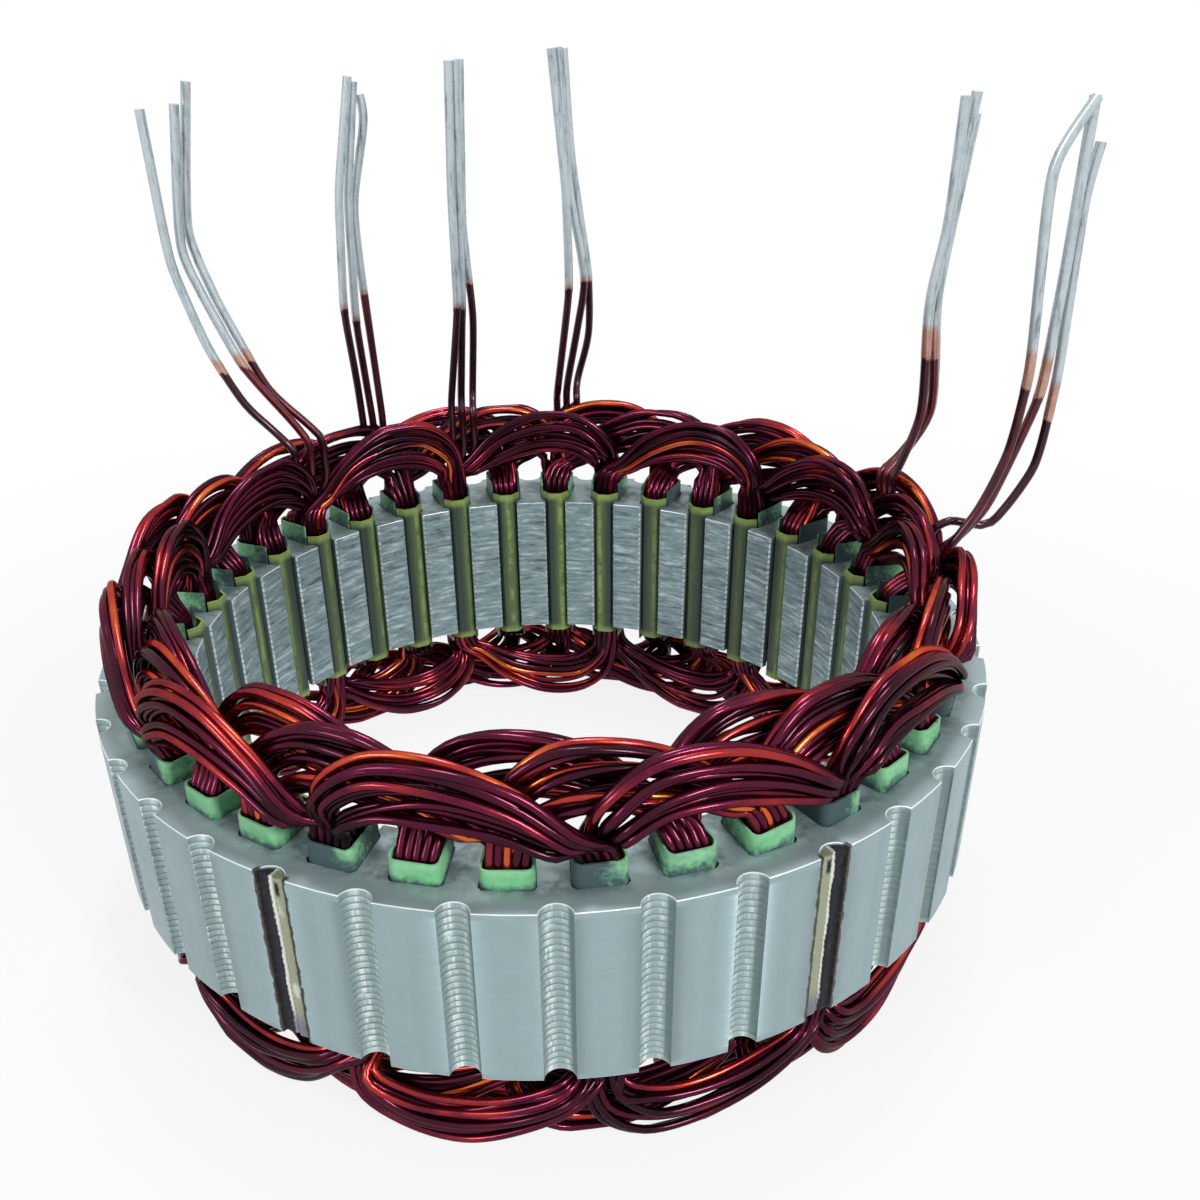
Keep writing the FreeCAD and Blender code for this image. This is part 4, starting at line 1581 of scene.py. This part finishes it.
@dataclass
class LeadBundles:
    """Six bundles of three lead wires, which come out of the crown's arches."""

    material: bpy.types.Material
    layout: SlotLayout = LAYOUT
    crown: CrownShape = CROWN
    tinned_radius: float = 0.77
    enamel_radius: float = 0.70
    tip_cut: float = 0.3
    spacing: float = 1.8
    seat_gap: float = 0.3
    bend_radius: float = 3.2

    def travel(self, phase: PhaseLayer, angle: float) -> float:
        """How far along the phase's arch an angle lies, from 0 to 1."""
        return ((self.layout.angle(phase.first_slot) - angle) / self.layout.span) % 1.0

    def arch_top(self, phase: PhaseLayer, angle: float) -> float:
        """Height of the phase's high edge above the core at an angle."""
        share = self.travel(phase, angle)
        knots = [
            (place + lap, self.crown.rise(rise))
            for lap in (-1.0, 0.0, 1.0)
            for _, _, place, rise in self.crown.stations
        ]
        for (place0, rise0), (place1, rise1) in zip(knots, knots[1:]):
            if place0 <= share <= place1:
                return lerp(rise0, rise1, (share - place0) / (place1 - place0))
        return self.crown.height

    def seat(self, phase: PhaseLayer, angle: float) -> Vector:
        """Point where a lead leaves its crown layer."""
        room = self.crown.outer_radius - self.crown.thickness * (phase.layer + 1)
        turn = math.degrees(self.tinned_radius / room)
        height = max(self.arch_top(phase, angle + side) for side in (-turn, 0.0, turn)) + self.seat_gap
        return polar(self.crown.middle(phase.layer, height), angle, self.layout.half_stack + height)

    def tail(self, phase: PhaseLayer, exit_angle: float) -> list[Vector]:
        """Hidden end of a lead, along its arch down to the nearest slot.

        Args:
            phase: phase of the lead.
            exit_angle: angle where it leaves the crown.

        Returns:
            Points from the slot up to just under the seat.
        """
        crown = self.crown
        half = self.layout.half_stack
        share = self.travel(phase, exit_angle)
        origin = exit_angle + share * self.layout.span
        knots = [(place, rise) for _, _, place, rise in crown.stations]
        if share < 0.6:
            slot_angle = origin
            chain = [knot for knot in knots if knot[0] < share - 0.06]
        else:
            slot_angle = origin - self.layout.span
            chain = [knot for knot in reversed(knots) if knot[0] > share + 0.06]
        radius = (crown.copper_inner + crown.copper_outer) / 2
        points = [polar(radius, slot_angle, half + rise) for rise in (-2.0, crown.bend_start)]
        for place, rise in chain:
            height = crown.rise(rise) - 1.6
            angle = origin - self.layout.span * place
            points.append(polar(crown.middle(phase.layer, height), angle, half + height))
        return points

    def rounded(self, points: Sequence[Vector]) -> list[Vector]:
        """Replace each bend by two points set back from it, so that the wire bends in an arc."""
        result = [points[0]]
        for before, corner, after in zip(points, points[1:], points[2:]):
            back = min(self.bend_radius * MM, (before - corner).length * 0.4)
            ahead = min(self.bend_radius * MM, (after - corner).length * 0.4)
            first = corner + (before - corner).normalized() * back
            last = corner + (after - corner).normalized() * ahead
            result.extend((first, (first + last + corner * 2) / 4, last))
        result.append(points[-1])
        return result

    def build_wire(self, lead_set: LeadSet, number: int, foot: Vector) -> bpy.types.Object:
        """Build one lead wire with its three zones.

        Args:
            lead_set: the bundle.
            number: place in the bundle, 0 to 2.
            foot: seat of the bundle's middle wire.

        Returns:
            The wire as a mesh object.
        """
        wire = lead_set.wires[number]
        crown = self.crown
        half = self.layout.half_stack
        seat = self.seat(lead_set.phase, wire.angle)
        points = self.tail(lead_set.phase, wire.angle)
        visible = [seat]
        if wire.bends[0][1] > crown.height:
            radius = crown.middle(lead_set.phase.layer, crown.height)
            visible.append(polar(radius, wire.angle, half + crown.height))
        depth = foot.y + (number - 1) * self.spacing * MM
        for sideways, height in wire.bends:
            visible.append(Vector((foot.x + sideways * MM, depth, (half + height) * MM)))
        visible[-1] -= (visible[-1] - visible[-2]).normalized() * self.tip_cut * MM
        path = WirePath(points + self.rounded(visible), False, 1.2 * MM)
        radii = []
        for spot in path.sample():
            above = spot.z / MM - half - wire.enamel_end
            radii.append((self.tinned_radius if above > 0.0 else self.enamel_radius) * MM)
        obj = path.tube("lead", [self.tinned_radius * MM] + radii[1:], 2)
        heights = [vert.co.z / MM - half - wire.enamel_end for vert in obj.data.vertices]
        bare = [lead_set.bare_length] * len(heights)
        tones = [random.Random(int(wire.angle * 10)).random()] * len(heights)
        Mesher.store(obj, "POINT", above_enamel=heights, bare_length=bare, tone=tones)
        return obj

    def build(self) -> list[bpy.types.Object]:
        """Build the six bundles, each in place of its node."""
        pieces = []
        for lead_set in LEAD_SETS:
            foot = self.seat(lead_set.phase, lead_set.wires[1].angle)
            wires = [self.build_wire(lead_set, number, foot) for number in range(3)]
            obj = Mesher.join(wires, "leads_" + lead_set.node.removesuffix("_leads"))
            Mesher.finish(obj, self.material, "lead_wire", lead_set.node)
            pieces.append(obj)
        return pieces


@dataclass(frozen=True)
class SoftBox:
    """One large soft lamp."""

    name: str
    place: Point
    size: float
    power: float

    def hang(self) -> None:
        """Add the lamp and aim it at the stator."""
        lamp = bpy.data.lights.new(self.name, "AREA")
        lamp.shape = "SQUARE"
        lamp.size = self.size
        lamp.energy = self.power
        obj = Mesher.link(self.name, lamp)
        obj.location = self.place
        aim = Vector((0.0, 0.0, 0.02)) - Vector(self.place)
        obj.rotation_euler = aim.to_track_quat("-Z", "Y").to_euler()


@dataclass
class Studio:
    """Pale floor, white surroundings, soft lamps and the photograph's camera."""

    floor_height: float = -31.2
    floor_colour: Colour = (0.58, 0.58, 0.58, 1.0)
    shadow_white: float = 0.86
    sky_colour: Colour = (0.94, 0.97, 1.0, 1.0)
    sky_strength: float = 0.30
    lamps: Sequence[SoftBox] = (
        SoftBox("key_lamp", (0.45, -0.62, 0.55), 0.20, 5.8),
        SoftBox("fill_lamp", (-0.60, -0.50, 0.40), 0.24, 2.4),
        SoftBox("top_lamp", (0.05, 0.15, 0.80), 0.18, 3.4),
    )
    camera_distance: float = 205.6
    camera_elevation: float = 31.26
    camera_angle: float = -90.74
    camera_roll: float = -1.909
    focal_pixels: float = 1268.6
    image_size: float = 1200.0
    centre_pixel: tuple[float, float] = (541.3, 704.4)

    def seen_rays(self, tree: Tree) -> bpy.types.NodeSocket:
        """1 for rays from the camera, mirrors and glass, else 0."""
        path = tree.add("ShaderNodeLightPath")
        seen = tree.math("MAXIMUM", path.outputs["Is Camera Ray"], path.outputs["Is Glossy Ray"])
        return tree.math("MAXIMUM", seen, path.outputs["Is Transmission Ray"])

    @staticmethod
    def mix_shaders(
        tree: Tree, share: bpy.types.NodeSocket, first: bpy.types.Node, second: bpy.types.Node, output: str
    ) -> None:
        """Mix two shaders by a share of the second and put them on the tree's output."""
        mixed = tree.add("ShaderNodeMixShader")
        for socket, value in zip(mixed.inputs, (share, first.outputs[0], second.outputs[0])):
            tree.put(socket, value)
        tree.put(tree.add(output).inputs["Surface"], mixed.outputs[0])

    def lay_floor(self) -> None:
        """Add the floor, white to the camera and in mirrors but for a soft shadow."""
        bpy.ops.object.select_all(action="DESELECT")
        bpy.ops.mesh.primitive_plane_add(size=6.0, location=(0.0, 0.0, 0.0))
        floor = Mesher.adopt("studio_floor")
        with Mesher.editing(floor):
            bpy.ops.transform.translate(value=(0.0, 0.0, self.floor_height * MM))
        material = bpy.data.materials.new("studio_floor")
        material.use_nodes = True
        tree = Tree(material.node_tree)
        diffuse = tree.add("ShaderNodeBsdfDiffuse")
        diffuse.inputs["Color"].default_value = self.floor_colour
        glow = tree.add("ShaderNodeEmission")
        glow.inputs["Strength"].default_value = 1.0
        away = tree.span(tree.radius(), 0.10, 0.28, self.shadow_white, 1.0)
        share = tree.times(self.seen_rays(tree), away)
        self.mix_shaders(tree, share, diffuse, glow, "ShaderNodeOutputMaterial")
        floor.data.materials.append(material)

    def fill_world(self) -> None:
        """White surroundings that light the object softly."""
        world = bpy.data.worlds.new("studio_world")
        bpy.context.scene.world = world
        world.use_nodes = True
        tree = Tree(world.node_tree)
        light = tree.add("ShaderNodeBackground")
        light.inputs["Color"].default_value = self.sky_colour
        light.inputs["Strength"].default_value = self.sky_strength
        white = tree.add("ShaderNodeBackground")
        white.inputs["Color"].default_value = (1.0, 1.0, 1.0, 1.0)
        white.inputs["Strength"].default_value = 1.0
        self.mix_shaders(tree, self.seen_rays(tree), light, white, "ShaderNodeOutputWorld")

    def set_camera(self) -> None:
        """Put the camera where the photograph was taken from."""
        turn = math.radians(self.camera_angle)
        rise = math.radians(self.camera_elevation)
        back = Vector((math.cos(turn) * math.cos(rise), math.sin(turn) * math.cos(rise), math.sin(rise)))
        right = Vector((-math.sin(turn), math.cos(turn), 0.0))
        up = back.cross(right)
        roll = math.radians(self.camera_roll)
        x_axis = right * math.cos(roll) + up * math.sin(roll)
        y_axis = up * math.cos(roll) - right * math.sin(roll)
        lens = bpy.data.cameras.new("photo_camera")
        lens.sensor_width = 36.0
        lens.lens = 36.0 * self.focal_pixels / self.image_size
        lens.shift_x = (self.image_size / 2 - self.centre_pixel[0]) / self.image_size
        lens.shift_y = (self.centre_pixel[1] - self.image_size / 2) / self.image_size
        lens.clip_start = 0.01
        lens.clip_end = 20.0
        camera = Mesher.link("photo_camera", lens)
        camera.matrix_world = Matrix.Translation(back * self.camera_distance * MM) @ Matrix(
            (x_axis, y_axis, back)
        ).transposed().to_4x4()
        bpy.context.scene.camera = camera

    def build(self) -> None:
        """Set up the whole studio."""
        scene = bpy.context.scene
        scene.view_settings.view_transform = "Standard"
        self.lay_floor()
        self.fill_world()
        for lamp in self.lamps:
            lamp.hang()
        self.set_camera()


def main() -> None:
    """Build every sub-assembly in order, then the studio."""
    LaminatedCore(SheetSteelFinish()).build()
    WeldBeads(WeldFinish()).build()
    SlotLiners(LinerFinish()).build()
    SlotWedges(WedgeFinish()).build()
    enamel = EnamelledWireFinish().make()
    for phase in PhaseLayer:
        WaveWinding(phase, enamel).build()
    LeadBundles(LeadWireFinish().make()).build()
    Studio().build()


if __name__ == "__main__":
    main()
